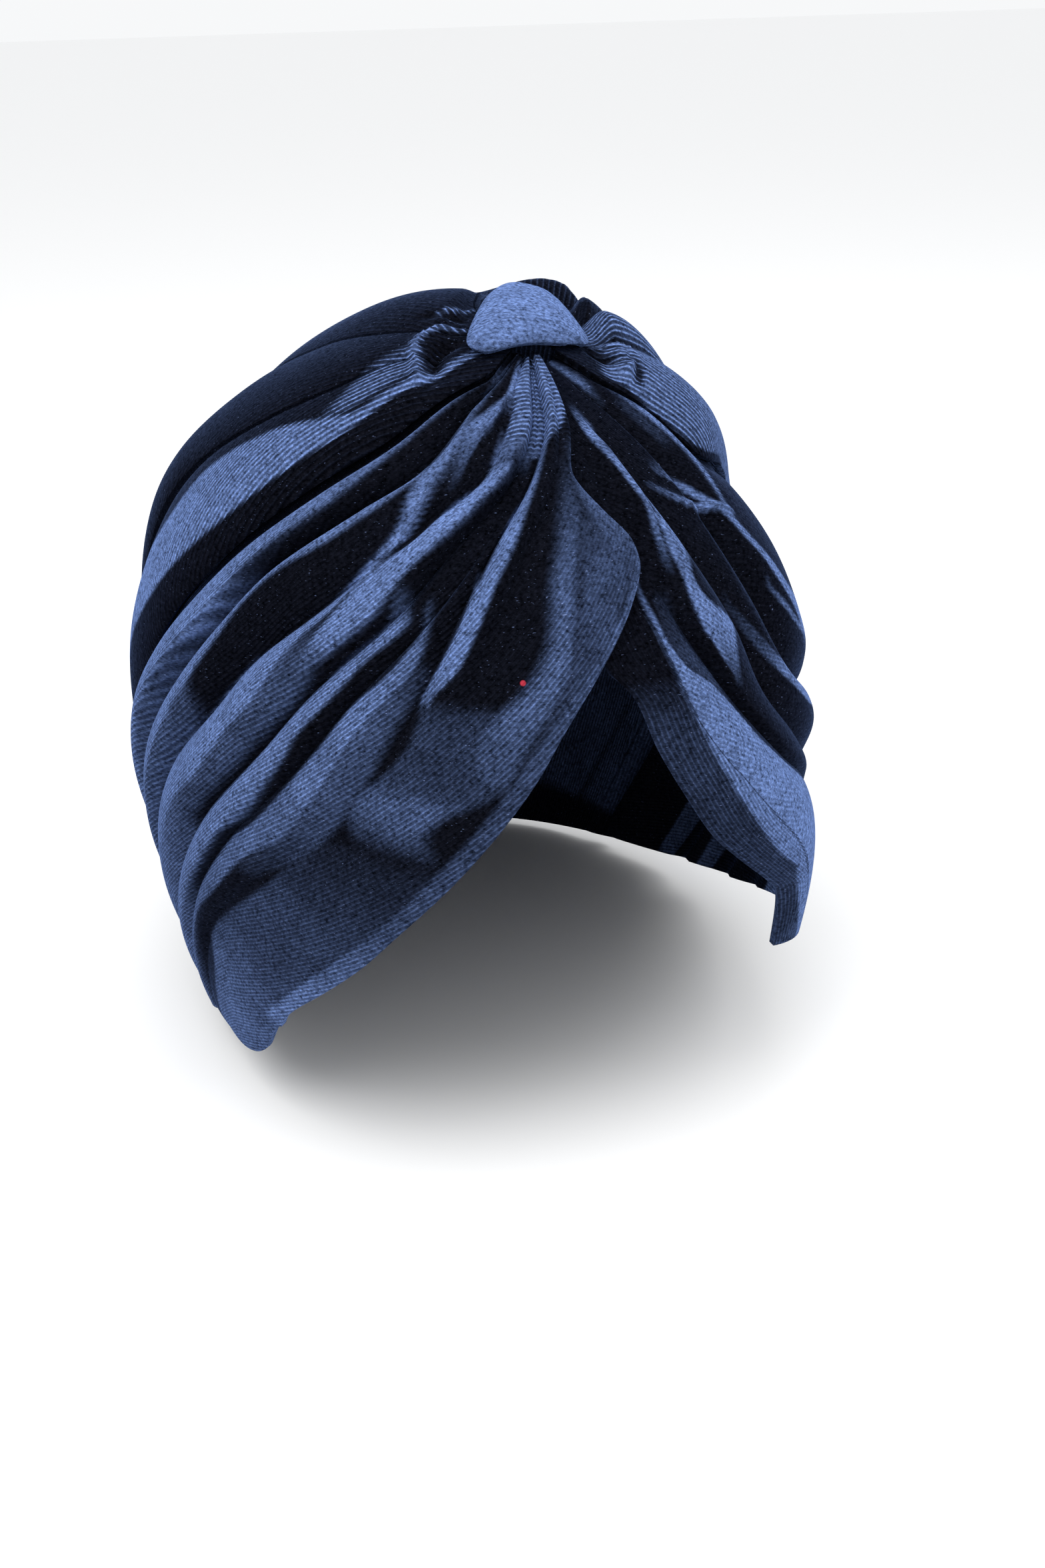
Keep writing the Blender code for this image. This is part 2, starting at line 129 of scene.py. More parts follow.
# The drape on the left, from the crown to the front
LEFT_PLEATS = (
    Pleat(crease=(48, 58, 62, 86, 100, 105, 109, 112, 115, 122),
          crest=(45, 54, 54, 48.5, 57, 66, 78, 90, 98, 106),
          height=(0.20, 0.35, 0.45, 0.60, 0.75, 0.75, 0.75, 0.75, 0.65, 0.35)),
    Pleat(crease=(30, 36, 40, 42, 46, 50, 66, 84, 92, 100),
          crest=(28, 34, 38, 39, 40, 45, 57, 76, 86, 94),
          height=(0.05, 0.08, 0.10, 0.15, 0.30, 0.45, 0.55, 0.60, 0.55, 0.35)),
    Pleat(crease=(12, 17, 22, 28, 34, 37, 48, 66, 78, 86),
          crest=(10, 13, 16.5, 20, 21.5, 29, 42, 62, 73, 81),
          height=(0.20, 0.35, 0.50, 0.60, 0.60, 0.35, 0.25, 0.20, 0.20, 0.15)),
    Pleat(crease=(4, 6, 9, 13, 19, 27.5, 39, 59, 68, 76),
          crest=(3, 4, 5, 8, 11.7, 15.5, 24, 38, 44, 46),
          height=(0.02, 0.05, 0.08, 0.12, 0.35, 0.60, 0.75, 0.75, 0.50, 0.35)),
)

# The crown's soft valleys, from the right drape round the back to the left drape, how high each
# lies, and how high each puff stands above them, as shares of the crown's puff
CROWN_VALLEYS = {
    "above_right": (-70, -84, -88, -95, -104, -110, -115, -119, -124, -132),
    "pouch_back": (-100, -112, -125, -133, -138, -141, -144, -147, -150, -155),
    "centre_back": (-150, -170, -180, -180, -180, -180, -180, -180, -180, -180),
    "first_puff": (-215, -221, -222, -222, -221, -220, -219, -217, -214, -210),
    "second_puff": (-258, -252, -248, -247, -245, -243, -241, -238, -235, -230),
}
CROWN_FLOORS = (
    (0.25, 0.30, 0.40, 0.50, 0.58, 0.62, 0.58, 0.52, 0.36, 0.14),
    (0.32, 0.24, 0.12, 0.08, 0.28, 0.48, 0.58, 0.58, 0.42, 0.16),
    (0.40, 0.36, 0.30, 0.34, 0.42, 0.50, 0.55, 0.55, 0.42, 0.16),
    (0.42, 0.56, 0.60, 0.58, 0.54, 0.56, 0.60, 0.58, 0.44, 0.16),
    (0.40, 0.50, 0.54, 0.50, 0.50, 0.50, 0.50, 0.48, 0.38, 0.14),
)
CROWN_FOLDS = (
    (0.08, 0.15, 0.22, 0.30, 0.35, 0.37, 0.38, 0.36, 0.25, 0.12),
    (0.05, 0.08, 0.10, 0.12, 0.20, 0.38, 0.48, 0.42, 0.28, 0.12),
    (0.05, 0.08, 0.10, 0.10, 0.10, 0.10, 0.10, 0.08, 0.06, 0.04),
    (0.32, 0.88, 0.90, 0.50, 0.24, 0.15, 0.12, 0.10, 0.06, 0.03),
    (0.12, 0.32, 0.30, 0.20, 0.15, 0.12, 0.10, 0.08, 0.05, 0.03),
    (0.15, 0.25, 0.38, 0.40, 0.36, 0.34, 0.32, 0.28, 0.20, 0.10),
)
CROWN_LEANS = (0.7, 0.6, 1.0, 1.6, 1.0, 0.9)

# The flap's free edge from the knot down to its lower corner, and the left drape's front edge,
# hidden under the flap and then its hem beside the face: fall and turn
FLAP_EDGE = (
    (3, 7), (14, 4), (18, 1), (21, 0), (25, 6), (28, 11), (30, 12), (32, 11.5), (36, 7.5),
    (43, 0), (49, -5.5), (55, -9.5), (67, -18), (76, -24.5), (83, -29), (90, -34), (97, -39),
    (102, -41.5), (125, -46),
)
LEFT_FRONT_EDGE = (
    (3, 2.6), (8, 2.5), (14, 0.8), (22, -3), (30, -4), (38, 0), (43, 2.5), (46, 6), (52, 9), (58, 13),
    (64, 17.5), (69, 23), (75, 30), (79, 34), (85, 35.5), (125, 35.5),
)

# The hem's level round the head: turn, and drop as a share of the hem's drop at the nape
HEM = (
    (-180, 1.0), (-120, 0.95), (-90, 0.90), (-60, 0.82), (-52, 0.80), (-46, 0.70), (-42, 0.50),
    (0, 0.40), (34, 0.36), (46, 0.40), (60, 0.52), (75, 0.68), (90, 0.80), (120, 0.94), (180, 1.0),
)


def smooth_between(knots: tuple, values: tuple, x: Array) -> Array:
    """Smooth curve through a table of values, held at its ends.

    Args:
        knots: places of the values, rising.
        values: the value at each knot.
        x: places at which the curve is read.

    Returns:
        The curve's value at each place.
    """
    knots = np.asarray(knots, float)
    values = np.asarray(values, float)
    x = np.clip(x, knots[0], knots[-1])
    i = np.clip(np.searchsorted(knots, x, side="right") - 1, 0, len(knots) - 2)
    slopes = np.empty_like(values)
    slopes[1:-1] = (values[2:] - values[:-2]) / (knots[2:] - knots[:-2])
    slopes[0] = (values[1] - values[0]) / (knots[1] - knots[0])
    slopes[-1] = (values[-1] - values[-2]) / (knots[-1] - knots[-2])
    span = knots[i + 1] - knots[i]
    t = (x - knots[i]) / span
    rest = 1 - t
    return (values[i] * rest * rest * (1 + 2 * t) + values[i + 1] * t * t * (3 - 2 * t)
            + slopes[i] * span * t * rest * rest - slopes[i + 1] * span * t * t * rest)


def through(pairs: tuple, x: Array) -> Array:
    """Smooth curve through pairs of a place and its value, read at each x."""
    places, values = zip(*pairs)
    return smooth_between(places, values, x)


def by_fall(row: tuple, fall: Array) -> Array:
    """Smooth curve through a row of the fold tables, read at each fall."""
    return smooth_between(FALL, row, fall)


def step(low: float, high: float, x: Array) -> Array:
    """Smooth step from 0 at low to 1 at high."""
    t = np.clip((x - low) / (high - low), 0, 1)
    return t * t * (3 - 2 * t)


def arch(t: Array, lean: float, fullness: float) -> Array:
    """Height of a fold across its width: lean moves its top, fullness steepens its sides."""
    return np.sin(math.pi * np.clip(t, 0, 1) ** lean) ** fullness


def fold_over(t: Array, top: Array, fullness: float) -> Array:
    """Height of a fold across its width, given the share of the width at which its crest lies."""
    top = np.clip(top, CREST_MARGIN, 1 - CREST_MARGIN)
    side = np.where(t < top, t / top, (1 - t) / (1 - top))
    return np.sin(math.pi / 2 * np.clip(side, 0, 1)) ** fullness


def strip_of(share: Array, counts: tuple) -> tuple[Array, Array]:
    """Find the strip between two creases that a place lies in.

    Args:
        share: share of the sheet's columns at each place.
        counts: columns of each strip.

    Returns:
        The strip's number, and the share across it.
    """
    edges = np.cumsum((0,) + tuple(counts)) / sum(counts)
    strip = np.clip(np.searchsorted(edges, share - 1e-9) - 1, 0, len(counts) - 1)
    return strip, np.clip((share - edges[strip]) / (edges[strip + 1] - edges[strip]), 0, 1)


def pick(rows: list, strip: Array) -> Array:
    """Value of the numbered row at each place."""
    return np.take_along_axis(np.stack(rows), strip[None, :], 0)[0]


def way_to(azimuth: float, elevation: float) -> tuple[float, float, float]:
    """Unit vector from the centre, with azimuth 0 at the front and positive towards +X."""
    a, e = math.radians(azimuth), math.radians(elevation)
    return math.sin(a) * math.cos(e), -math.cos(a) * math.cos(e), math.sin(e)


@dataclass(frozen=True)
class Hollow:
    """The head hollow, an ellipsoid measured from its widest level, and where the knot sits on it."""

    width: float = 0.150
    length: float = 0.192
    height: float = 0.110
    depth: float = 0.120
    hem_drop: float = 0.056
    knot_turn: float = 20.0
    knot_lift: float = 76.0

    def axes(self) -> tuple[Array, Array, Array]:
        """Axes of the knot: outwards through its centre, towards the front, and towards +X."""
        out = np.array(way_to(self.knot_turn, self.knot_lift))
        front = np.array((0.0, -1.0, 0.0))
        front -= out * front.dot(out)
        front /= np.linalg.norm(front)
        return out, front, np.cross(out, front)

    def ways(self, fall: Array, turn: Array) -> Array:
        """Unit vectors from the centre to places given by their fall and turn."""
        out, front, side = self.axes()
        fall, turn = np.radians(fall)[..., None], np.radians(turn)[..., None]
        across = front * np.cos(turn) + side * np.sin(turn)
        return out * np.cos(fall) + across * np.sin(fall)

    def radius(self, ways: Array) -> Array:
        """Distance from the centre to the hollow's surface along unit vectors."""
        upright = np.where(ways[..., 2] > 0, self.height, self.depth)
        scaled = (2 * ways[..., 0] / self.width) ** 2 + (2 * ways[..., 1] / self.length) ** 2
        return 1 / np.sqrt(scaled + (ways[..., 2] / upright) ** 2)

    def places(self, fall: Array, turn: Array, rise: Array) -> Array:
        """Points at each fall and turn, each a rise outside the hollow."""
        ways = self.ways(fall, turn)
        return ways * (self.radius(ways) + rise)[..., None]

    def degrees_across(self, length: float, fall: Array) -> Array:
        """Turn that spans a length of cloth at each fall."""
        return np.degrees(length / (self.height * np.sin(np.radians(np.maximum(fall, GATHER_START)))))

    def hem_fall(self, turn_at: Callable[[Array], Array]) -> Array:
        """Fall at which lines down the cloth meet the hem.

        Args:
            turn_at: function that gives each line's turn at each line's fall.

        Returns:
            The fall of each line's foot.
        """
        lines = np.ones_like(turn_at(0))
        low, high = HEM_FALLS[0] * lines, HEM_FALLS[1] * lines
        for _ in range(HEM_HALVINGS):
            middle = (low + high) / 2
            turn = turn_at(middle)
            level = self.places(middle, turn, np.zeros_like(middle))[..., 2]
            above = level > -self.hem_drop * through(HEM, (turn + 180) % 360 - 180)
            low, high = np.where(above, middle, low), np.where(above, high, middle)
        return high


HOLLOW = Hollow()


@dataclass(frozen=True)
class Cloth:
    """Thickness of the velvet, and how closely its layers lie."""

    wall: float = 0.0016
    clearance: float = 0.0004
    ease: float = 0.0005
    tuck: float = 0.0045
    pressed_rise: float = 0.0021
    flap_margin: float = 0.0015
    flap_ease: float = 0.0080

    @property
    def crease(self) -> float:
        """Rise of a crease's outer side above the hollow."""
        return self.ease + self.wall

    @property
    def over(self) -> float:
        """Rise of cloth that lies over another sheet."""
        return self.crease + self.clearance + self.wall

    @property
    def pressed(self) -> float:
        """Rise of the cloth that the band presses down."""
        return self.crease + self.pressed_rise


CLOTH = Cloth()


@dataclass(frozen=True)
class BandSize:
    """Size and outline of the strap over the gather, and how far round it the cloth is pressed.

    Its corners are cut back by shares and powers across and along the strap, its squareness gives
    the powers with which its rims turn down, and its arch shape moves the front rim's arch aside.
    """

    front_width: float = 0.033
    back_width: float = 0.014
    front_reach: float = 0.009
    back_reach: float = 0.032
    lean: float = 0.0085
    skew: float = 0.0025
    arch: float = 0.0045
    arch_shape: tuple = (0.75, 0.60)
    puff: float = 0.0032
    corners: tuple = (0.42, 0.30)
    corner_powers: tuple = (6, 4)
    squareness: tuple = (3, 5)
    pressed_margins: tuple = (0.0025, 0.0080)
    pressed_behind: float = 0.55
    pressed_to_fall: float = 60.0

    def half_width(self, forward: Array) -> Array:
        """Half of the band's width at a distance forward of the knot's centre."""
        back = np.clip((self.front_reach - forward) / (self.front_reach + self.back_reach), 0, 1)
        return (self.front_width + (self.back_width - self.front_width) * back) / 2

    def middle(self, forward: Array) -> Array:
        """How far the band's middle line lies to +X at a distance forward of the knot's centre."""
        return -self.lean * forward / self.back_reach


BAND = BandSize()


def pressed(fall: Array, turn: Array, rise: Array) -> Array:
    """Rise of the gather where the band lies on it or beside it."""
    reach = (HOLLOW.height + CLOTH.pressed) * np.sin(np.radians(fall))
    forward, sideways = reach * np.cos(np.radians(turn)), reach * np.sin(np.radians(turn))
    beside = np.abs(sideways - BAND.middle(forward)) - BAND.half_width(forward)
    beyond = np.maximum(forward - BAND.front_reach, BAND.pressed_behind * (-forward - BAND.back_reach))
    held = 1 - step(*BAND.pressed_margins, np.maximum(beside, beyond))
    hold = np.where(fall < BAND.pressed_to_fall, held, 0)
    return rise + (np.minimum(rise, CLOTH.pressed) - rise) * hold


@dataclass(frozen=True)
class Crimp:
    """Small fold or furrow along a line on a sheet.

    The line's points are fall, turn and height in millimetres, and a height below zero is a
    furrow. Its half width is in millimetres too. Shine paints a highlight along it, and shine below
    zero paints shade along it.
    """

    line: tuple
    half_width: float
    crisp: float = 1.5
    shine: float = 0.0
    shine_side: float = 1.2

    def work(self, bare: Array, rise: Array, painted_light: Array) -> tuple[Array, Array]:
        """Fold the sheet along the line.

        Args:
            bare: points of the sheet on the hollow's surface.
            rise: the sheet's rise at each point.
            painted_light: painted light and shade at each point.

        Returns:
            The new rise and the new painted light and shade.
        """
        table = np.asarray(self.line, float)
        steps = np.arange(len(table))
        fine = np.linspace(0, len(table) - 1, LINE_POINTS * (len(table) - 1) + 1)
        fall, turn, height = (smooth_between(steps, column, fine) for column in table.T)
        path = HOLLOW.places(fall, turn, np.zeros_like(fall))
        near = np.full(len(bare), np.inf)
        lift = np.zeros(len(bare))
        for a, b, low, high in zip(path[:-1], path[1:], height[:-1], height[1:]):
            along = b - a
            t = np.clip((bare - a) @ along / (along @ along), 0, 1)
            gap = np.linalg.norm(bare - a - t[:, None] * along, axis=1)
            closer = gap < near
            near = np.where(closer, gap, near)
            lift = np.where(closer, low + (high - low) * t, lift)
        near = near / MM
        raised = rise + MM * lift * np.clip(1 - near / self.half_width, 0, 1) ** self.crisp
        # Painted highlight along crimps with shine above zero, painted shade along those with shine below
        # zero
        strength = np.abs(lift) / np.abs(height).max() * (1 - step(SHINE_FADE, 1, near / self.shine_side))
        if self.shine > 0:
            return raised, np.maximum(painted_light, self.shine * strength)
        return raised, painted_light * (1 + self.shine * strength)


@dataclass(frozen=True)
class Streak:
    """Band of cloth with a painted highlight, where a fold catches the light.

    Each row gives a fall, the band's first and last turn there, and how bright the painted highlight is.
    """

    rows: tuple
    soft_start: float = 0.7
    soft_end: float = 1.3

    def light(self, fall: Array, turn: Array) -> Array:
        """How bright the band's painted highlight is at each fall and turn."""
        falls, starts, ends, shine = np.asarray(self.rows, float).T
        millimetres = 1 / HOLLOW.degrees_across(MM, fall)
        from_start = (turn - smooth_between(falls, starts, fall)) * millimetres
        to_end = (smooth_between(falls, ends, fall) - turn) * millimetres
        along = (step(falls[0] - BAND_FADE, falls[0], fall)
                 * (1 - step(falls[-1], falls[-1] + BAND_FADE, fall)))
        across = (step(-self.soft_start, self.soft_start, from_start)
                  * step(-self.soft_end, self.soft_end, to_end))
        return across * along * np.clip(smooth_between(falls, shine, fall), 0, 1)


# Painted highlights where the light falls on the drape on the right: its three main pleats, the
# gathers at the knot, the small pleats beside the seam, the ribbed patch at the knot, and the flap
RIGHT_STREAKS = (
    Streak(((8, -40, -38, 0.2), (11, -46, -43, 0.5), (14, -50, -46, 0.7), (18, -53, -48.5, 0.75),
            (22, -57, -50.5, 0.7), (30, -66, -56.5, 0.7), (40, -77, -66, 0.8), (50, -85, -72, 0.85),
            (60, -92, -79.5, 0.8), (75, -101, -89, 0.7), (95, -106, -96.5, 0.6), (125, -116, -107, 0.5))),
    Streak(((24, -43.5, -41, 0.6), (27, -48, -44.5, 0.75), (30, -52, -48, 0.85), (35, -58.5, -54, 0.85),
            (40, -64.5, -60.5, 0.85), (45, -69, -64.5, 0.85), (50, -71.8, -66.5, 0.85), (60, -79, -71, 0.8),
            (75, -88, -78.5, 0.7), (95, -96, -88, 0.55), (125, -106, -100, 0.5))),
    Streak(((7, -37.5, -35.5, 0.6), (14, -38.5, -36.5, 0.75), (18, -39, -36, 0.8), (22, -41, -36, 0.85),
            (26, -42, -37.5, 0.85), (30, -41.5, -39, 0.85), (35, -45, -42.5, 0.85), (40, -48.8, -46, 0.85),
            (45, -54, -50, 0.8), (50, -59.5, -52, 0.9), (55, -63, -54, 0.85), (60, -66, -57.5, 0.85),
            (70, -73, -63, 0.75), (75, -76.5, -67, 0.7), (95, -86, -77, 0.55), (125, -96, -90, 0.45))),
    Streak(((44, -50, -44, 0.22), (50, -53, -46.5, 0.42), (60, -59, -53, 0.42), (75, -69, -63, 0.35),
            (95, -79, -73, 0.3)), soft_end=2.0),
    Streak(((10, -24, -18, 0.6), (12, -30, -22, 0.75), (14, -33, -28, 0.8), (16, -36, -29, 0.8),
            (18, -38, -31, 0.7), (20, -39, -33, 0.5), (22, -40, -33, 0.3), (25, -41, -36, 0.2))),
    Streak(((14, -26, -20, 0.5), (17, -25, -17, 0.6), (20, -25, -18, 0.6), (22, -25, -19.5, 0.85),
            (25, -30.5, -23.5, 0.9), (30, -37, -29.5, 0.9), (35, -42, -35, 0.9), (40, -45.5, -38, 0.9),
            (45, -47.5, -43, 0.8), (48, -48, -46, 0.5))),
    Streak(((38, -36, -33, 0.4), (40, -36, -32.5, 0.8), (45, -41, -37.5, 0.85), (50, -45, -41, 0.85),
            (55, -48.5, -44.5, 0.85), (60, -51.5, -46.5, 0.8), (70, -58, -52, 0.7), (75, -61.5, -56, 0.7),
            (95, -71, -66, 0.55), (125, -84, -79, 0.4))),
    Streak(((38, -30.5, -29, 0.3), (40, -30, -28.5, 0.5), (45, -33, -29.5, 0.7), (50, -38, -33.5, 0.8),
            (55, -41, -36.5, 0.75), (60, -44, -38.5, 0.7), (70, -50, -44, 0.6), (75, -54.5, -49.5, 0.6),
            (85, -60, -56, 0.5), (95, -65, -62, 0.4), (125, -75, -71, 0.3))),
    Streak(((45, -29.5, -27, 0.25), (50, -34, -29.5, 0.42), (60, -39, -33.5, 0.42), (70, -45, -39, 0.3),
            (77, -51, -47, 0.15)), soft_end=2.0),
    Streak(((15, -7, -5.5, 0.4), (18, -9.5, -8, 0.5), (22, -12.5, -10.8, 0.7), (26, -17, -13.5, 0.8),
            (30, -19.5, -15.5, 0.85), (35, -22, -18.5, 0.85), (40, -24, -20.5, 0.85),
            (44, -26, -22.5, 0.85), (47, -27.5, -25.5, 0.6)), soft_start=0.5, soft_end=0.8),
    Streak(((5, -30, 12, 0.75), (8, -28, 10, 0.8), (11, -27, 6, 0.75), (14, -22, 1, 0.7),
            (16, -20, -4, 0.6), (18, -20, -9, 0.5), (19, -19, -13, 0.3)), soft_start=0.4, soft_end=0.8),
    Streak(((20, -3, 0, 0.25), (26, -6, 0, 0.35), (30, -7, -2, 0.5), (35, -8.5, -3.5, 0.6),
            (40, -8.8, -4, 0.6), (45, -12, -6, 0.55), (50, -18, -10, 0.5), (55, -18, -12.5, 0.4)),
           soft_start=2.6, soft_end=2.6),
    Streak(((26, -3, 6, 0.2), (32, -3, 8, 0.42), (38, -4, 4, 0.42), (44, -6, 0, 0.35), (52, -12, -6, 0.2)),
           soft_start=2.0, soft_end=1.5),
    Streak(((18, 0, 6, 0.35), (22, -1, 8, 0.55), (26, 1, 12, 0.5), (30, 3, 14, 0.4), (34, 2, 12, 0.3),
            (38, -1, 8, 0.15)), soft_start=2.5, soft_end=0.6),
    Streak(((28, 9.5, 12, 0.5), (31, 10.5, 13, 0.6), (36, 5.5, 8.5, 0.6), (43, -2.5, 1, 0.45),
            (50, -9, -5, 0.45), (60, -16, -11, 0.4), (75, -27, -22, 0.4), (90, -37.5, -32, 0.7),
            (102, -45, -40, 0.8)), soft_start=1.5),
    Streak(((49, -27, -8, 0.26), (53, -28, -12, 0.28), (57, -31, -15, 0.3), (60, -34, -21, 0.5),
            (63, -34.5, -23, 0.42), (66, -33, -20, 0.08)), soft_start=1.5, soft_end=3.0),
    Streak(((46, -92, -84, 0.1), (56, -98, -72, 0.38), (70, -108, -66, 0.45), (95, -116, -64, 0.48),
            (125, -128, -68, 0.48)), soft_start=6.0, soft_end=6.0),
    Streak(((68, -40, -18, 0.12), (75, -44, -24, 0.22), (80, -47.5, -27, 0.3), (90, -55, -33, 0.3),
            (98, -59.5, -38, 0.4), (106, -60, -42, 0.5), (125, -65, -46, 0.45)), soft_start=1.5,
           soft_end=2.0),
)

# Painted highlights where the light falls on the drape on the left: the puckered ridge, the fold
# beside the hem, and the thin ridges above it
LEFT_STREAKS = (
    Streak(((12, 11, 17, 0.4), (13.5, 11.5, 18, 0.8), (16, 12, 15.8, 0.8), (19, 13.5, 16.5, 0.8),
            (22, 15.5, 20, 0.85), (25, 17.5, 24, 0.85), (28, 19.5, 26, 0.85), (30, 19.5, 26, 0.85),
            (32, 19.5, 24.5, 0.8), (34, 19.7, 22.8, 0.85), (37, 20, 25, 0.9), (40, 21, 33, 0.95),
            (42, 22.5, 31, 0.85), (44, 24, 29, 0.6), (46, 26, 28, 0.3)), soft_start=0.5, soft_end=0.8),
    Streak(((33, 10.3, 11.3, 0.4), (36, 11, 12, 0.85), (40, 11.5, 13, 0.9), (44, 13, 16.5, 0.9),
            (46, 13.3, 21, 0.9), (50, 15, 26, 0.95), (55, 17.5, 31, 0.95), (60, 21, 37.5, 1.0),
            (65, 25, 44.5, 1.0), (70, 29.5, 51, 1.0), (75, 35, 58, 0.95), (95, 42, 66, 0.9),
            (125, 44, 72, 0.8)), soft_start=1.2, soft_end=0.6),
    Streak(((38, 33, 35, 0.15), (44, 37, 40, 0.32), (47, 39.5, 43, 0.5), (50, 43, 47.5, 0.75),
            (53, 47, 52, 0.85), (56, 51, 57, 0.9), (60, 57, 66, 0.9), (65, 68, 77, 0.8), (75, 76, 85, 0.6),
            (95, 86, 92, 0.5), (125, 94, 98, 0.4)), soft_start=1.0, soft_end=0.8),
    Streak(((21, 33, 39, 0.3), (22.5, 38, 41, 0.7), (24, 41, 43.5, 0.8), (27, 44, 46.5, 0.85),
            (30, 47, 49.5, 0.85), (33, 49, 52, 0.9), (36, 52, 55, 0.9), (40, 55, 58.5, 0.9),
            (43, 57.5, 61.5, 0.9), (46, 60, 66, 0.9), (50, 63, 73, 0.9), (60, 76, 86, 0.8),
            (75, 89, 96, 0.6), (95, 97, 104, 0.5), (125, 105, 110, 0.4)), soft_start=0.6, soft_end=0.7),
    Streak(((40, 50.5, 51.7, 0.4), (44, 54.3, 56, 0.65), (48, 58.7, 60.5, 0.65), (52, 64, 66, 0.4)),
           soft_start=0.5, soft_end=0.5),
    Streak(((11, 48, 56, 0.3), (14, 50, 58, 0.8), (18, 52, 58, 0.9), (22, 52.5, 56, 0.9),
            (26, 50.8, 53.3, 0.9), (29.5, 48, 49.7, 0.6)), soft_start=1.2, soft_end=0.6),
    Streak(((3, 32, 42, 0.7), (8, 33, 40, 0.6), (10, 34, 38, 0.2))),
    Streak(((13, 42, 50, 0.2), (18, 45, 51, 0.18)), soft_start=1.5),
    Streak(((36, 13, 17, 0.15), (40, 13, 18, 0.2), (44, 15, 22, 0.25), (48, 20, 25, 0.2)), soft_end=0.6),
    Streak(((46, 4, 13, 0.14), (50, 6, 15, 0.26), (60, 12, 24, 0.26), (75, 28, 39, 0.26), (95, 34, 46, 0.3),
            (125, 34, 48, 0.3)), soft_start=1.5, soft_end=0.8),
)

# Painted highlights where the light falls on the crown: the roll beside the right drape, the
# ribbed patch above it, and the two puffs on the left
CROWN_STREAKS = (
    Streak(((5, -72, -65, 0.5), (8, -71, -65, 0.8), (14, -68.5, -63.5, 0.85), (18, -70, -66, 0.85),
            (22, -71, -67, 0.85), (25, -78, -69, 0.85), (30, -88, -73.5, 0.9), (40, -98.5, -82, 0.9),
            (50, -102, -90, 0.9), (60, -108, -97, 0.9), (75, -116, -106, 0.7), (95, -122, -112, 0.6),
            (125, -130, -118, 0.5)), soft_start=1.5, soft_end=0.8),
    Streak(((13.5, -92, -70, 0.35), (16, -90, -72, 0.4), (20, -84, -73, 0.5), (23, -80, -74, 0.4)),
           soft_start=2.5, soft_end=1.5),
    Streak(((10, -298, -262, 0.75), (16, -298, -258, 0.65), (22, -294, -254, 0.62), (30, -272, -250, 0.6),
            (60, -252, -240, 0.4), (125, -236, -225, 0.3)), soft_start=0.8, soft_end=2.5),
    Streak(((10, -250, -225, 0.5), (30, -246, -224, 0.42), (60, -240, -222, 0.35), (125, -225, -212, 0.3)),
           soft_start=2.5, soft_end=2.5),
    Streak(((15, -170, -142, 0.0), (35, -172, -142, 0.16), (60, -172, -142, 0.26), (125, -170, -145, 0.26)),
           soft_start=9.0, soft_end=9.0),
    Streak(((15, -215, -188, 0.0), (35, -214, -186, 0.16), (60, -214, -186, 0.26), (125, -208, -185, 0.26)),
           soft_start=9.0, soft_end=9.0),
)

# Small folds of the crown beside the knot: the loops with painted highlights, the pockets inside
# them with painted shade, and the dip at the end of the roll behind the band
CROWN_CRIMPS = (
    Crimp(line=((14, -218, -1.0), (18, -216, -3.0), (22, -214, -3.4), (26, -212, -2.4), (31, -211, -0.6)),
          half_width=5.0, crisp=1.0),
    Crimp(line=((7.0, -107, 0.6), (9.2, -108, 1.0), (11.2, -102, 1.3), (12.5, -91, 1.4), (13.2, -80, 1.3),
                (14.6, -68, 1.0)), half_width=1.8, shine=0.8, shine_side=1.2),
    Crimp(line=((8.3, -88, -1.2), (9.6, -86, -2.2), (10.8, -80, -2.2), (12.2, -71, -1.6)), half_width=2.8,
          shine=-0.97, shine_side=3.0),
    Crimp(line=((8.0, -126, -0.6), (10.0, -125, -1.2), (12.0, -121, -0.6)), half_width=2.0, shine=-0.97,
          shine_side=2.2),
    Crimp(line=((8.6, -152, 0.3), (9.2, -138, 0.6), (10.5, -126, 0.3)), half_width=1.4, shine=0.55,
          shine_side=0.9),
    Crimp(line=((7.6, -268, -1.0), (9.0, -272, -2.0), (10.4, -276, -1.0)), half_width=2.6, shine=-0.97,
          shine_side=3.2),
    Crimp(line=((7.9, -256, 0.4), (10.4, -256, 0.8), (12.6, -262, 0.8), (12.6, -275, 0.8),
                (10.8, -287, 0.5)), half_width=1.6, shine=0.8, shine_side=1.2),
    Crimp(line=((12.6, -292, -0.5), (12.8, -286, -1.3), (12.6, -278, -1.3), (12.2, -270, -0.5)),
          half_width=1.6, shine=-0.9, shine_side=1.6),
)

# Small folds of the drape on the right, with painted highlights on ridges and painted shade in
# furrows: the branch by the knot, the gathers beside it, the oval of painted shade and the puckers
# beside the seam
RIGHT_CRIMPS = (
    Crimp(line=((14, -37.7, 0.5), (22, -37, 0.6), (30, -39, 1.2), (36, -43.5, 1.3), (41, -47, 0.4)),
          half_width=1.6, shine=0.85, shine_side=1.0),
    Crimp(line=((8, -22, 0.4), (14, -29.5, 0.9), (19, -32, 0.7), (24, -33, 0.2)), half_width=1.6, shine=0.8,
          shine_side=1.2),
    Crimp(line=((26, -34, -0.3), (30, -36.5, -1.0), (34, -42, -0.6)), half_width=1.2, shine=-0.9),
    Crimp(line=((11, -24, -0.5), (14, -24.5, -1.2), (17, -25, -0.5)), half_width=1.6, shine=-0.95,
          shine_side=1.6),
    Crimp(line=((33, -22, 0.2), (37, -22.5, 0.7), (42, -24, 0.8), (47, -26, 0.2)), half_width=1.2, shine=0.7,
          shine_side=0.7),
)
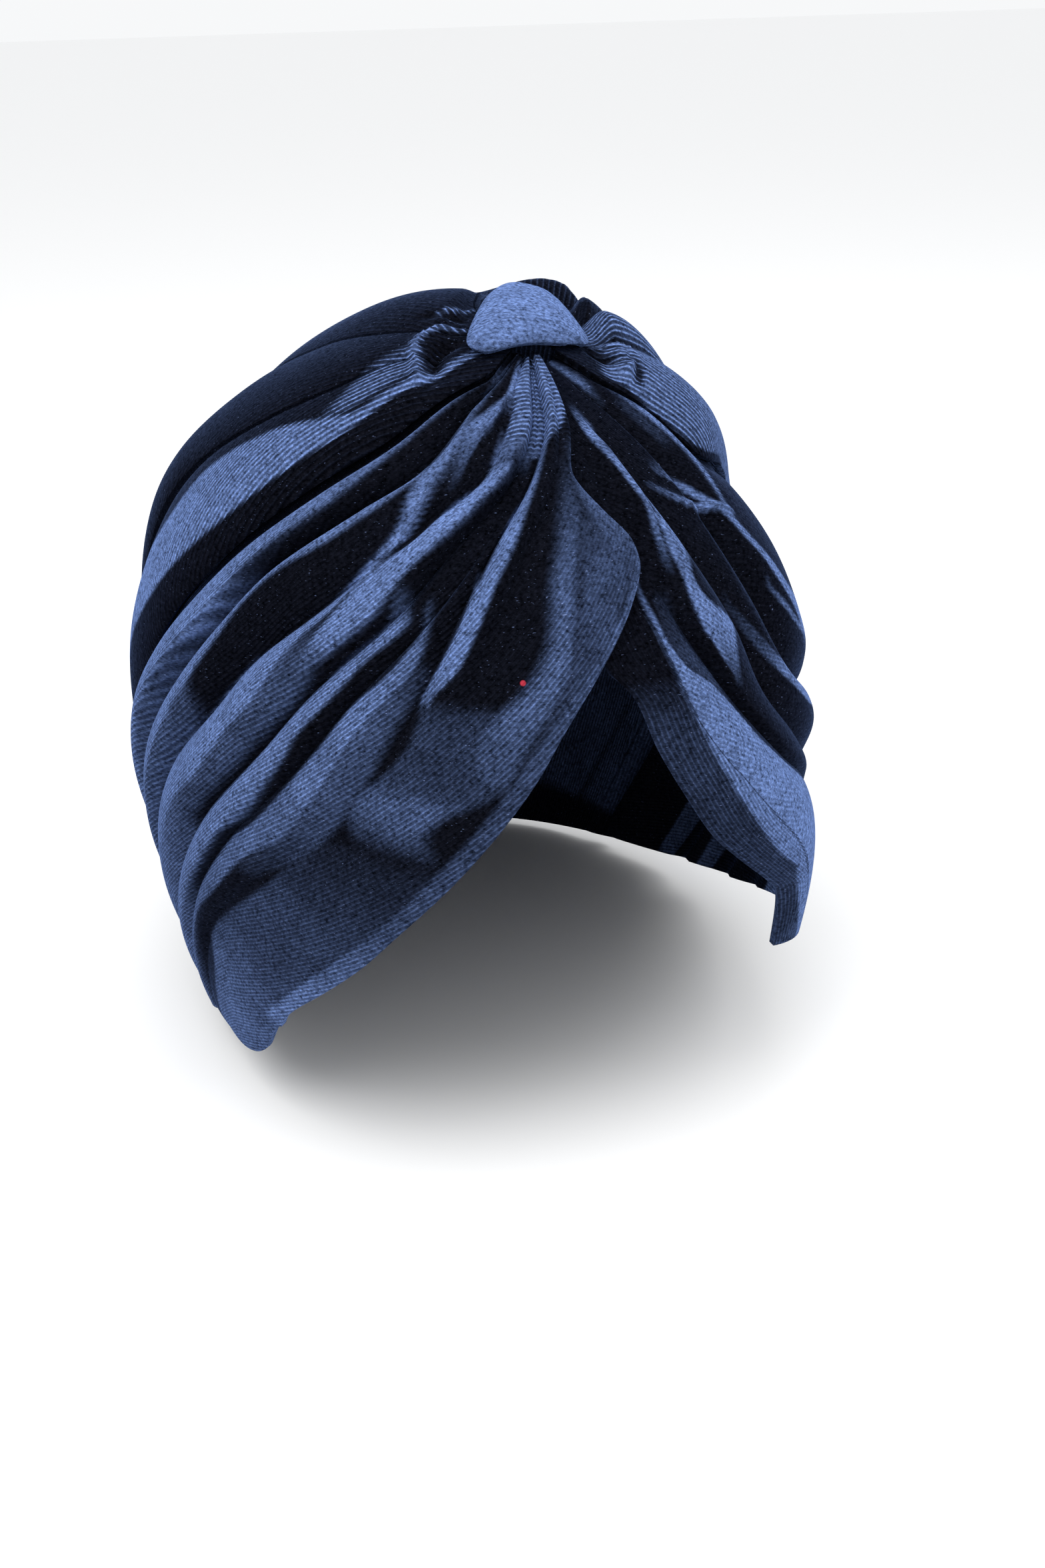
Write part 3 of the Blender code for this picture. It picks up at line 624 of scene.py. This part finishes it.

# Small folds of the drape on the left, with painted highlights on ridges and painted shade in the
# pocket: the start of its second ridge, the branch and the small pocket of its puckered ridge, and
# the soft folds under the flap's tip
LEFT_CRIMPS = (
    Crimp(line=((22, 27, 0.3), (24.5, 34, 1.0), (27, 43, 1.3), (29.5, 50, 1.0)), half_width=2.0, shine=0.85,
          shine_side=1.2),
    Crimp(line=((22, 17.5, 0.3), (25, 18, 0.7), (29, 18.5, 0.8), (33, 18, 0.2)), half_width=1.2, shine=0.7,
          shine_side=0.8),
    Crimp(line=((23.8, 20, -0.6), (25, 20.3, -1.2), (26.5, 20.5, -0.6)), half_width=1.1, shine=-0.9,
          shine_side=0.9),
)


class Nodes:
    """Shader nodes of one material, linked as they are made. Each input is a socket or a number."""

    def __init__(self, material: bpy.types.Material) -> None:
        """Start from the material's own shader."""
        material.use_nodes = True
        self.tree = material.node_tree
        self.shader = self.tree.nodes["Principled BSDF"]

    def put(self, node: bpy.types.Node, values: dict) -> bpy.types.Node:
        """Set a node's inputs.

        Args:
            node: the node.
            values: constant or socket for each input, by its name or number.

        Returns:
            The node.
        """
        for key, value in values.items():
            if isinstance(value, Socket):
                self.tree.links.new(value, node.inputs[key])
            else:
                node.inputs[key].default_value = value
        return node

    def add(self, kind: str, values: dict) -> bpy.types.Node:
        """New node of a kind with its inputs."""
        return self.put(self.tree.nodes.new("ShaderNode" + kind), values)

    def math(self, kind: str, a, b=0.0) -> Socket:
        """Result of a math node."""
        node = self.add("Math", {0: a, 1: b})
        node.operation = kind
        return node.outputs[0]

    def times(self, a, b) -> Socket:
        """Product of two inputs."""
        return self.math("MULTIPLY", a, b)

    def plus(self, a, b) -> Socket:
        """Sum of two inputs."""
        return self.math("ADD", a, b)

    def above(self, a, least: float) -> Socket:
        """Input held at or above the least value."""
        return self.math("MAXIMUM", a, least)

    def mix(self, factor, a, b, blend: str = "MIX") -> Socket:
        """Colour mixed from two others."""
        node = self.tree.nodes.new("ShaderNodeMix")
        node.data_type = "RGBA"
        node.blend_type = blend
        return self.put(node, {"Factor": factor, "A": a, "B": b}).outputs["Result"]

    def noise(self, place, scale: float, detail: float, roughness: float = 0.5) -> Socket:
        """Value of a noise pattern."""
        values = {"Vector": place, "Scale": scale, "Detail": detail, "Roughness": roughness}
        return self.add("TexNoise", values).outputs["Fac"]

    def attribute(self, name: str) -> Socket:
        """Value of one of the piece's attributes."""
        node = self.add("Attribute", {})
        node.attribute_name = name
        return node.outputs["Fac"]


@dataclass(frozen=True)
class Velvet:
    """Finish of the velvet's face: painted light and shade, ribs and painted glints.

    The colour runs from a painted shaded colour to a painted lit colour by the piece's painted light
    attribute, with a painted sheen at the limb and painted highlights on the rib crests.
    The ribs follow its "rib" attribute, a distance across them, and "rib_depth" fades them.
    """

    name: str
    # Painted shaded and painted lit copies of the velvet's colour
    shaded_colour: tuple = (0.0030, 0.0032, 0.0052)
    lit_colour: tuple = (0.104, 0.162, 0.350)
    # Colour of the painted glints
    glint_colour: tuple = (0.30, 0.40, 0.75)
    # Painted sheen at the limb: its strength, and how fast it fades towards faces turned to the view
    limb: float = 0.42
    limb_power: float = 4.0
    contrast: float = 1.5
    rib_pitch: float = 0.00105
    rib_height: float = 0.00016
    # Strength of the painted highlights on the rib crests
    rib_shine: float = 0.7
    rib_wobble: float = 4.0
    grain_scale: float = 2800.0
    grain_stretch: tuple = (0.45, 0.7, 1.3)
    cloud_scale: float = 130.0
    pile_height: float = 0.00012
    speckle: float = 2.6
    darkest_speckle: float = 0.15
    # Painted glints: noise level at which they start, their gain and their most
    glint_start: float = 0.71
    glint_gain: float = 8.0
    glint_most: float = 0.8
    lint: tuple = (0.38, 0.030, 0.050)
    lint_place: tuple = tuple(HOLLOW.places(44.5, -12.5, CLOTH.over + 0.0016))
    lint_size: float = 0.0007
    lint_edge: float = 5000.0
    roughness: float = 0.62
    sheen: float = 0.02
    sheen_roughness: float = 0.30
    sheen_tint: tuple = (0.20, 0.30, 0.78, 1.0)

    def light(self, web: Nodes, cloud: Socket, ribs: Socket) -> Socket:
        """How bright the painted light is, with the painted sheen at the limb and painted highlights on the
        rib crests.

        Args:
            web: nodes of the material.
            cloud: slow noise that makes the pile patchy.
            ribs: height of the ribs, from -1 to 1.

        Returns:
            The share of the painted lit colour.
        """
        # Painted sheen: brighter where the surface turns away from the view
        grazing = web.add("LayerWeight", {"Blend": 0.5}).outputs["Facing"]
        turned_away = web.times(web.math("POWER", grazing, self.limb_power), self.limb)
        patchy = web.plus(web.times(cloud, 0.8), 0.6)
        # Painted highlights on the rib crests, and painted light that rises and falls with the ribs
        crests = web.math("POWER", web.above(ribs, 0.0), 3.0)
        ribbed = web.plus(web.plus(web.times(ribs, 0.3), web.times(crests, self.rib_shine)), 0.9)
        # Painted light and shade of the folds, patchy and ribbed, plus the painted sheen at the limb
        lit = web.plus(web.times(web.times(web.attribute("painted_light"), patchy), ribbed), turned_away)
        return web.math("POWER", web.above(lit, 0.0), self.contrast)

    def make(self) -> bpy.types.Material:
        """Node material of the finish."""
        material = bpy.data.materials.new(self.name)
        web = Nodes(material)
        place = web.add("TexCoord", {}).outputs["Object"]
        lying = web.add("Mapping", {"Vector": place, "Scale": self.grain_stretch}).outputs["Vector"]
        grain = web.noise(lying, self.grain_scale, 3.0, 0.7)
        tufts = web.noise(place, self.grain_scale * 0.4, 2.0)
        glint_noise = web.noise(lying, self.grain_scale * 0.9, 1.0)
        cloud = web.noise(place, self.cloud_scale, 4.0)

        phase = web.times(web.attribute("rib"), 2 * math.pi / self.rib_pitch)
        wave = web.math("SINE", web.plus(phase, web.times(cloud, self.rib_wobble)))
        ribs = web.times(wave, web.attribute("rib_depth"))
        lit = self.light(web, cloud, ribs)
        # Mix of the painted shaded and painted lit colours of the velvet
        colour = web.mix(lit, (*self.shaded_colour, 1), (*self.lit_colour, 1))

        grains = web.math("SUBTRACT", grain, 0.5)
        coarse = web.math("SUBTRACT", tufts, 0.5)
        speckle = web.plus(web.times(grains, self.speckle), web.times(coarse, self.speckle))
        brightness = web.above(web.plus(speckle, 1.0), self.darkest_speckle)
        colour = web.mix(1.0, colour, brightness, "MULTIPLY")

        # Painted glints: tiny bright specks, brighter where the painted light is brighter
        bare = web.above(web.math("SUBTRACT", glint_noise, self.glint_start), 0.0)
        glints = web.times(web.times(bare, self.glint_gain), web.plus(lit, 0.25))
        colour = web.mix(web.math("MINIMUM", glints, self.glint_most), colour, (*self.glint_colour, 1))

        lint = web.add("VectorMath", {0: place, 1: self.lint_place})
        lint.operation = "DISTANCE"
        inside = web.math("SUBTRACT", self.lint_size, lint.outputs["Value"])
        inside = web.math("MINIMUM", web.above(web.times(inside, self.lint_edge), 0.0), 1.0)
        colour = web.mix(inside, colour, (*self.lint, 1))

        ribbed = {"Strength": 1.0, "Distance": self.rib_height, "Height": ribs}
        piled = {"Strength": 0.6, "Distance": self.pile_height, "Height": grain,
                 "Normal": web.add("Bump", ribbed).outputs["Normal"]}
        web.put(web.shader, {
            "Base Color": colour, "Metallic": 0.0, "Specular IOR Level": 0.0,
            "Roughness": web.plus(web.times(grains, 0.3), self.roughness),
            "Sheen Weight": self.sheen, "Sheen Roughness": self.sheen_roughness,
            "Sheen Tint": self.sheen_tint, "Normal": web.add("Bump", piled).outputs["Normal"]})
        return material


class Knit(Enum):
    """Which face of the cloth a finish is for."""

    FACE = 0
    BACK = 1


@dataclass
class ClothPiece:
    """A gathered sheet of velvet, shaped as a fine grid over the hollow.

    Its columns are counted per strip between two creases, and fineness multiplies them.
    """

    name: str
    columns: tuple
    fineness: int
    rows: int
    flat: tuple
    area: float
    packing: float = 1.2
    crimps: tuple = ()
    # Bands of painted highlight where the folds catch the light, and the level of painted shade outside them
    streaks: tuple = ()
    ground: float = 0.03
    held: str = "gathered"
    rim_share: float = 0.42
    rim_angle: float = 60.0
    piece: bpy.types.Object = field(default=None, repr=False)

    def lie(self, share: Array, fall: Array) -> tuple[Array, Array]:
        """Turn and rise of the sheet at each share of its columns and each fall."""
        raise NotImplementedError

    def ribs(self, share: Array, fall: Array, turn: Array) -> tuple[Array, Array]:
        """Distance across the ribs, and how deep they are, at each place."""
        raise NotImplementedError

    def painted_light(self, fall: Array, turn: Array) -> Array:
        """Painted light and shade of the folds, from 0 for painted shade to 1 for painted highlight, at each
        place.
        """
        bare = np.full_like(fall, self.ground)
        return np.max([bare] + [band.light(fall, turn) for band in self.streaks], 0)

    def build(self, face: bpy.types.Material, back: bpy.types.Material) -> bpy.types.Object:
        """Args:
            face: finish of the velvet's face.
            back: finish of its back.

        Returns:
            The finished piece.
        """
        bpy.ops.object.select_all(action="DESELECT")
        columns = sum(self.columns) * self.fineness
        bpy.ops.mesh.primitive_grid_add(x_subdivisions=columns, y_subdivisions=self.rows, size=1)
        sheet = bpy.context.object
        sheet.name = sheet.data.name = self.name + "_velvet"
        self.piece = sheet
        self.shape(columns)
        self.give_wall()
        self.dress(face, back)
        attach(sheet, "root")
        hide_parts(self.name)
        log.info("%s: %d faces", sheet.name, len(sheet.data.polygons))
        return sheet

    def spread(self, grid: Array, columns: int) -> tuple[Array, dict]:
        """Spread the flat grid over the sheet's folds.

        Args:
            grid: the grid's points, from -0.5 to 0.5 both ways.
            columns: columns of the grid.

        Returns:
            The points' places, and the attributes that the finish follows.
        """
        share = np.round((grid[:, 0] + 0.5) * columns) / columns
        down = np.clip(0.5 - grid[:, 1], 0, 1) ** self.packing
        line = np.arange(columns + 1) / columns
        feet = HOLLOW.hem_fall(lambda fall: self.lie(line, fall * np.ones_like(line))[0])
        foot = feet[np.round(share * columns).astype(int)]
        fall = GATHER_START + (foot - GATHER_START) * down
        turn, rise = self.lie(share, fall)
        # Painted light and shade: painted highlight on the bands, painted shade elsewhere
        painted_light = self.painted_light(fall, turn)
        bare = HOLLOW.places(fall, turn, np.zeros_like(fall))
        for crimp in self.crimps:
            rise, painted_light = crimp.work(bare, rise, painted_light)
        places = HOLLOW.places(fall, turn, np.maximum(rise, CLOTH.crease))
        rib, depth = self.ribs(share, fall, turn)
        return places, {"rib": rib, "rib_depth": depth, "painted_light": painted_light}

    def shape(self, columns: int) -> None:
        """Move the grid's points to their places, with the face outwards.

        Args:
            columns: columns of the grid.
        """
        mesh = self.piece.data
        points = np.empty(len(mesh.vertices) * 3)
        mesh.vertices.foreach_get("co", points)
        places, attributes = self.spread(points.reshape(-1, 3), columns)
        mesh.vertices.foreach_set("co", places.ravel())
        for name, values in attributes.items():
            layer = mesh.attributes.new(name, "FLOAT", "POINT")
            layer.data.foreach_set("value", np.asarray(values, np.float32))
        mesh.update()
        middle = mesh.polygons[len(mesh.polygons) // 2]
        if middle.normal.dot(middle.center) < 0:
            mesh.flip_normals()

    def give_wall(self) -> None:
        """Give the sheet its thickness, with a rounded rim."""
        wall = self.piece.modifiers.new("wall", "SOLIDIFY")
        wall.thickness = CLOTH.wall
        wall.offset = -1
        wall.material_offset = Knit.BACK.value
        wall.use_rim = True
        rim = self.piece.modifiers.new("rim", "BEVEL")
        rim.width = CLOTH.wall * self.rim_share
        rim.segments = 2
        rim.limit_method = "ANGLE"
        rim.angle_limit = math.radians(self.rim_angle)
        bpy.context.view_layer.objects.active = self.piece
        for modifier in ("wall", "rim"):
            bpy.ops.object.modifier_apply(modifier=modifier)
        self.piece.data.shade_smooth()

    def dress(self, face: bpy.types.Material, back: bpy.types.Material) -> None:
        """Put the finishes on the face and the back of the cloth."""
        self.piece.data.materials.append(face)
        self.piece.data.materials.append(back)


@dataclass
class Drape(ClothPiece):
    """Drape folded in pleats that run from the knot to the hem."""

    pleats: tuple = ()
    edge: tuple = ()
    side: int = 1
    pleat_height: float = 0.0070

    def fold(self, share: Array, fall: Array) -> tuple[Array, ...]:
        """Lay the pleats side by side.

        Args:
            share: share of the sheet's columns at each place.
            fall: fall of each place.

        Returns:
            The turn, the strip, the share across it, and the height of the fold at each place.
        """
        strip, t = strip_of(share, self.columns)
        turns = [by_fall(pleat.crease, fall) for pleat in self.pleats]
        turns.insert(0, turns[0] - self.side * HOLLOW.degrees_across(CLOTH.tuck, fall))
        turns.append(through(self.edge, fall))
        start, end = pick(turns, strip), pick(turns, strip + 1)
        crests = pick([start] + [by_fall(pleat.crest, fall) for pleat in self.pleats], strip)
        heights = pick([0 * fall] + [by_fall(pleat.height, fall) for pleat in self.pleats], strip)
        crisp = np.asarray([1.0] + [pleat.crisp for pleat in self.pleats])[strip]
        height = self.pleat_height * heights * fold_over(t, (crests - start) / (end - start), crisp)
        return start + (end - start) * t, strip, t, height


@dataclass
class RightDrape(Drape):
    """Pleated drape on the right with the flap that crosses the forehead."""

    name: str = "right_drape"
    columns: tuple = (1, 6, 6, 6, 4, 4, 3, 6)
    fineness: int = 8
    rows: int = 155
    flat: tuple = (0.200, 0.220)
    area: float = 0.0220
    pleats: tuple = RIGHT_PLEATS
    edge: tuple = FLAP_EDGE
    crimps: tuple = RIGHT_CRIMPS
    streaks: tuple = RIGHT_STREAKS

    def lie(self, share: Array, fall: Array) -> tuple[Array, Array]:
        """Turn and rise of the drape at each share of its columns and each fall."""
        turn, strip, t, height = self.fold(share, fall)
        lifted = CLOTH.over + (CLOTH.crease - CLOTH.over) * step(*FLAP_LANDS, fall)
        flap = len(self.pleats)
        floor = CLOTH.crease + (lifted - CLOTH.crease) * np.where(strip == flap - 1, t, strip > flap - 1)
        return turn, pressed(fall, turn, floor + height)

    def ribs(self, share: Array, fall: Array, turn: Array) -> tuple[Array, Array]:
        """Ribs that slant down to the right edge, and run round the knot beside the seam."""
        slanted = (1.38 * fall + 1.22 * turn - 0.5 * np.maximum(-55 - turn, 0)) * MM
        round_knot = HOLLOW.height * np.radians(fall) * 0.8
        seam = (fall < 20) & (turn > -27)
        patch = 1.3 * (1 - step(15, 20, fall)) * step(-27, -20, turn) * (1 - step(4, 9, turn))
        depth = np.where(seam, patch, 0.15 + 0.5 * step(22, 45, fall))
        return np.where(seam, round_knot, slanted), depth


@dataclass
class LeftDrape(Drape):
    """Pleated drape on the left, which starts under the flap."""

    name: str = "left_drape"
    columns: tuple = (1, 8, 6, 5, 8)
    fineness: int = 10
    rows: int = 170
    flat: tuple = (0.190, 0.200)
    area: float = 0.0200
    side: int = -1
    pleats: tuple = LEFT_PLEATS
    edge: tuple = LEFT_FRONT_EDGE
    crimps: tuple = LEFT_CRIMPS
    streaks: tuple = LEFT_STREAKS

    def lie(self, share: Array, fall: Array) -> tuple[Array, Array]:
        """Turn and rise of the drape at each share of its columns and each fall."""
        turn, _, _, height = self.fold(share, fall)
        beyond = (turn - through(FLAP_EDGE, fall)) / HOLLOW.degrees_across(1, fall) - CLOTH.flap_margin
        return turn, pressed(fall, turn, CLOTH.crease + height * step(0, CLOTH.flap_ease, beyond))

    def ribs(self, share: Array, fall: Array, turn: Array) -> tuple[Array, Array]:
        """Ribs along the hem beside the face, and slanting across the pleats."""
        degree = 1 / HOLLOW.degrees_across(1, fall)
        beside_hem = (turn - through(self.edge, fall)) * degree
        slanted = (fall - 0.45 * turn) * 0.0016
        hem = turn < by_fall(self.pleats[-1].crest, fall)
        return np.where(hem, beside_hem, slanted), np.where(hem, 0.7, 0.45)


@dataclass
class Crown(ClothPiece):
    """Crown: top and back of the headwrap."""

    name: str = "crown"
    columns: tuple = (7, 6, 5, 5, 5, 7)
    fineness: int = 8
    rows: int = 165
    flat: tuple = (0.360, 0.240)
    area: float = 0.0520
    crimps: tuple = CROWN_CRIMPS
    streaks: tuple = CROWN_STREAKS
    # Level of painted shade on the crown outside its bands of painted highlight
    ground: float = 0.025
    puff: float = 0.0100
    crease_gap: float = 0.0012
    rib_centres: tuple = (-90, -115, -150, -200, -240, -285)

    def lie(self, share: Array, fall: Array) -> tuple[Array, Array]:
        """Turn and rise of the crown at each share of its columns and each fall."""
        strip, t = strip_of(share, self.columns)
        gap = HOLLOW.degrees_across(self.crease_gap, fall)
        turns = [by_fall(RIGHT_PLEATS[0].crease, fall) - gap]
        turns += [by_fall(row, fall) for row in CROWN_VALLEYS.values()]
        turns.append(by_fall(LEFT_PLEATS[0].crease, fall) - 360 + gap)
        edge = np.full_like(fall, CLOTH.over)
        floors = [CLOTH.crease + self.puff * by_fall(row, fall) for row in CROWN_FLOORS]
        floors = [edge] + floors + [edge]
        start, end = pick(turns, strip), pick(turns, strip + 1)
        turn = start + (end - start) * t
        rise = pick(floors, strip) * (1 - t) + pick(floors, strip + 1) * t
        folds = [self.puff * by_fall(row, fall) for row in CROWN_FOLDS]
        lean = np.asarray(CROWN_LEANS)[strip]
        return turn, pressed(fall, turn, rise + pick(folds, strip) * arch(t, lean, FOLD_FULLNESS))

    def ribs(self, share: Array, fall: Array, turn: Array) -> tuple[Array, Array]:
        """Ribs that run down each puff, side by side."""
        reach = HOLLOW.height * np.radians(np.minimum(fall, 70))
        centres = np.asarray(self.rib_centres)[strip_of(share, self.columns)[0]]
        across = reach * np.sin(np.radians(turn - centres))
        return across * 0.78, 1.3 - 0.7 * step(30, 60, fall)


@dataclass
class KnotBand(ClothPiece):
    """Strap over the gather, whose rims turn down onto the cloth."""

    name: str = "knot_band"
    columns: tuple = (64,)
    fineness: int = 1
    rows: int = 96
    flat: tuple = (0.029, 0.047)
    area: float = 0.00115
    rib_depth: float = 0.25
    # Painted shade towards the rims: the lightest level, how much darker the rims get, and how fast
    rim_painted_shade: tuple = (0.95, 0.35, 3)

    def spread(self, grid: Array, columns: int) -> tuple[Array, dict]:
        """Spread the flat grid over the strap's cushion-like form.

        Args:
            grid: the grid's points, from -0.5 to 0.5 both ways.
            columns: columns of the grid.

        Returns:
            The points' places, and the attributes that the finish follows.
        """
        w, v = 2 * grid[:, 0], 2 * grid[:, 1]
        rim = 1 - (1 - np.abs(w) ** BAND.squareness[0]) * (1 - np.abs(v) ** BAND.squareness[1])
        (cut_w, cut_v), (power_w, power_v) = BAND.corners, BAND.corner_powers
        w, v = w * np.sqrt(1 - cut_w * v ** power_w), v * np.sqrt(1 - cut_v * w ** power_v)
        forward = (BAND.front_reach - BAND.back_reach + (BAND.front_reach + BAND.back_reach) * v) / 2
        sideways = BAND.middle(forward) + w * BAND.half_width(forward)
        arched = (1 - w * w) * (BAND.arch_shape[0] + BAND.arch_shape[1] * w)
        forward = forward - (BAND.skew * w + BAND.arch * arched) * (1 + v) / 2
        fall = np.degrees(np.arcsin(np.hypot(forward, sideways) / (HOLLOW.height + CLOTH.pressed)))
        turn = np.degrees(np.arctan2(sideways, forward))
        rise = CLOTH.pressed + CLOTH.clearance + CLOTH.wall + BAND.puff * (1 - rim)
        # Painted shade that darkens the strap towards its rims, which turn down away from the light
        most, drop, power = self.rim_painted_shade
        painted_light = most - drop * rim ** power
        depth = np.full_like(w, self.rib_depth)
        return HOLLOW.places(fall, turn, rise), {"rib": forward, "rib_depth": depth, "painted_light": painted_light}


@dataclass
class Studio:
    """Pale floor, soft lights and the camera at the photograph's angle.

    A light is its name, azimuth, elevation, distance, side and watts.
    """

    azimuth: float = -14.0
    elevation: float = 25.0
    roll: float = -2.0
    distance: float = 0.4355
    lens: float = 40.0
    sensor: float = 36.0
    image: tuple = (1568, 2352)
    centre: tuple = (708, 1150)
    floor_side: float = 12.0
    floor_gap: float = 0.0005
    lights: tuple = (("key", -60, 52, 0.9, 0.6, 4.0), ("fill", 75, 40, 0.9, 0.6, 2.2),
                     ("top", 0, 80, 0.9, 0.5, 1.6))

    def build(self, low: float) -> None:
        """Make the floor, lights and camera.

        Args:
            low: level of the object's lowest point.
        """
        self.lay_floor(low)
        self.hang_lights()
        self.set_camera()

    def lay_floor(self, low: float) -> None:
        """Plain pale floor just under the hem."""
        bpy.ops.object.select_all(action="DESELECT")
        bpy.ops.mesh.primitive_plane_add(size=self.floor_side, location=(0, 0, low - self.floor_gap))
        floor = bpy.context.object
        floor.name = "studio_floor"
        material = bpy.data.materials.new("pale_floor")
        material.use_nodes = True
        shader = material.node_tree.nodes["Principled BSDF"]
        shader.inputs["Base Color"].default_value = (0.95, 0.95, 0.95, 1)
        shader.inputs["Roughness"].default_value = 0.9
        floor.data.materials.append(material)
        floor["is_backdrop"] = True
        world = bpy.data.worlds.new("studio")
        world.use_nodes = True
        world.node_tree.nodes["Background"].inputs["Color"].default_value = (0.98, 0.99, 1.0, 1)
        world.node_tree.nodes["Background"].inputs["Strength"].default_value = 0.95
        bpy.context.scene.world = world
        bpy.context.scene.view_settings.view_transform = "Standard"

    def hang_lights(self) -> None:
        """Soft lights above and to both sides."""
        for name, azimuth, elevation, far, size, watts in self.lights:
            lamp = bpy.data.lights.new(name, "AREA")
            lamp.size = size
            lamp.energy = watts
            holder = bpy.data.objects.new(name, lamp)
            way = Vector(way_to(azimuth, elevation))
            aimed = (-way).to_track_quat("-Z", "Y").to_matrix().to_4x4()
            holder.matrix_world = Matrix.Translation(way * far) @ aimed
            bpy.context.scene.collection.objects.link(holder)

    def set_camera(self) -> None:
        """Camera that sees the hollow's centre where the photograph shows it."""
        roll = math.radians(self.roll)
        back = Vector(way_to(self.azimuth, self.elevation))
        right = (-back).cross(Vector((0, 0, 1))).normalized()
        up = right.cross(-back)
        level, tilt = math.cos(roll), math.sin(roll)
        seen = Matrix((level * right + tilt * up, tilt * right - level * up, -back))
        width, height = self.image
        pixels = self.lens / self.sensor * max(self.image)
        aim = Vector(((self.centre[0] - width / 2) / pixels, (self.centre[1] - height / 2) / pixels, 1))
        seen = Vector((0, 0, 1)).rotation_difference(aim).to_matrix() @ seen
        turned = Matrix((seen[0], -seen[1], -seen[2])).transposed().to_4x4()
        lens = bpy.data.cameras.new("camera")
        lens.lens = self.lens
        lens.sensor_width = self.sensor
        lens.clip_start = 0.01
        camera = bpy.data.objects.new("camera", lens)
        camera.matrix_world = Matrix.Translation(back * self.distance) @ turned
        bpy.context.scene.collection.objects.link(camera)
        bpy.context.scene.camera = camera


def main() -> None:
    """Build the pieces in order, then the studio, and read the scene's bounds again."""
    logging.basicConfig(level=logging.INFO, format="%(message)s")
    low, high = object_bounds()
    face = Velvet("navy_velvet").make()
    # The back has its own darker painted shaded and painted lit colours
    back = Velvet("velvet_back", shaded_colour=(0.004, 0.005, 0.012), lit_colour=(0.012, 0.016, 0.040)).make()
    for piece in (Crown(), RightDrape(), LeftDrape(), KnotBand()):
        piece.build(face, back)
    Studio().build(low.z)
    bpy.context.view_layer.update()
    low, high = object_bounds()


if __name__ == "__main__":
    main()
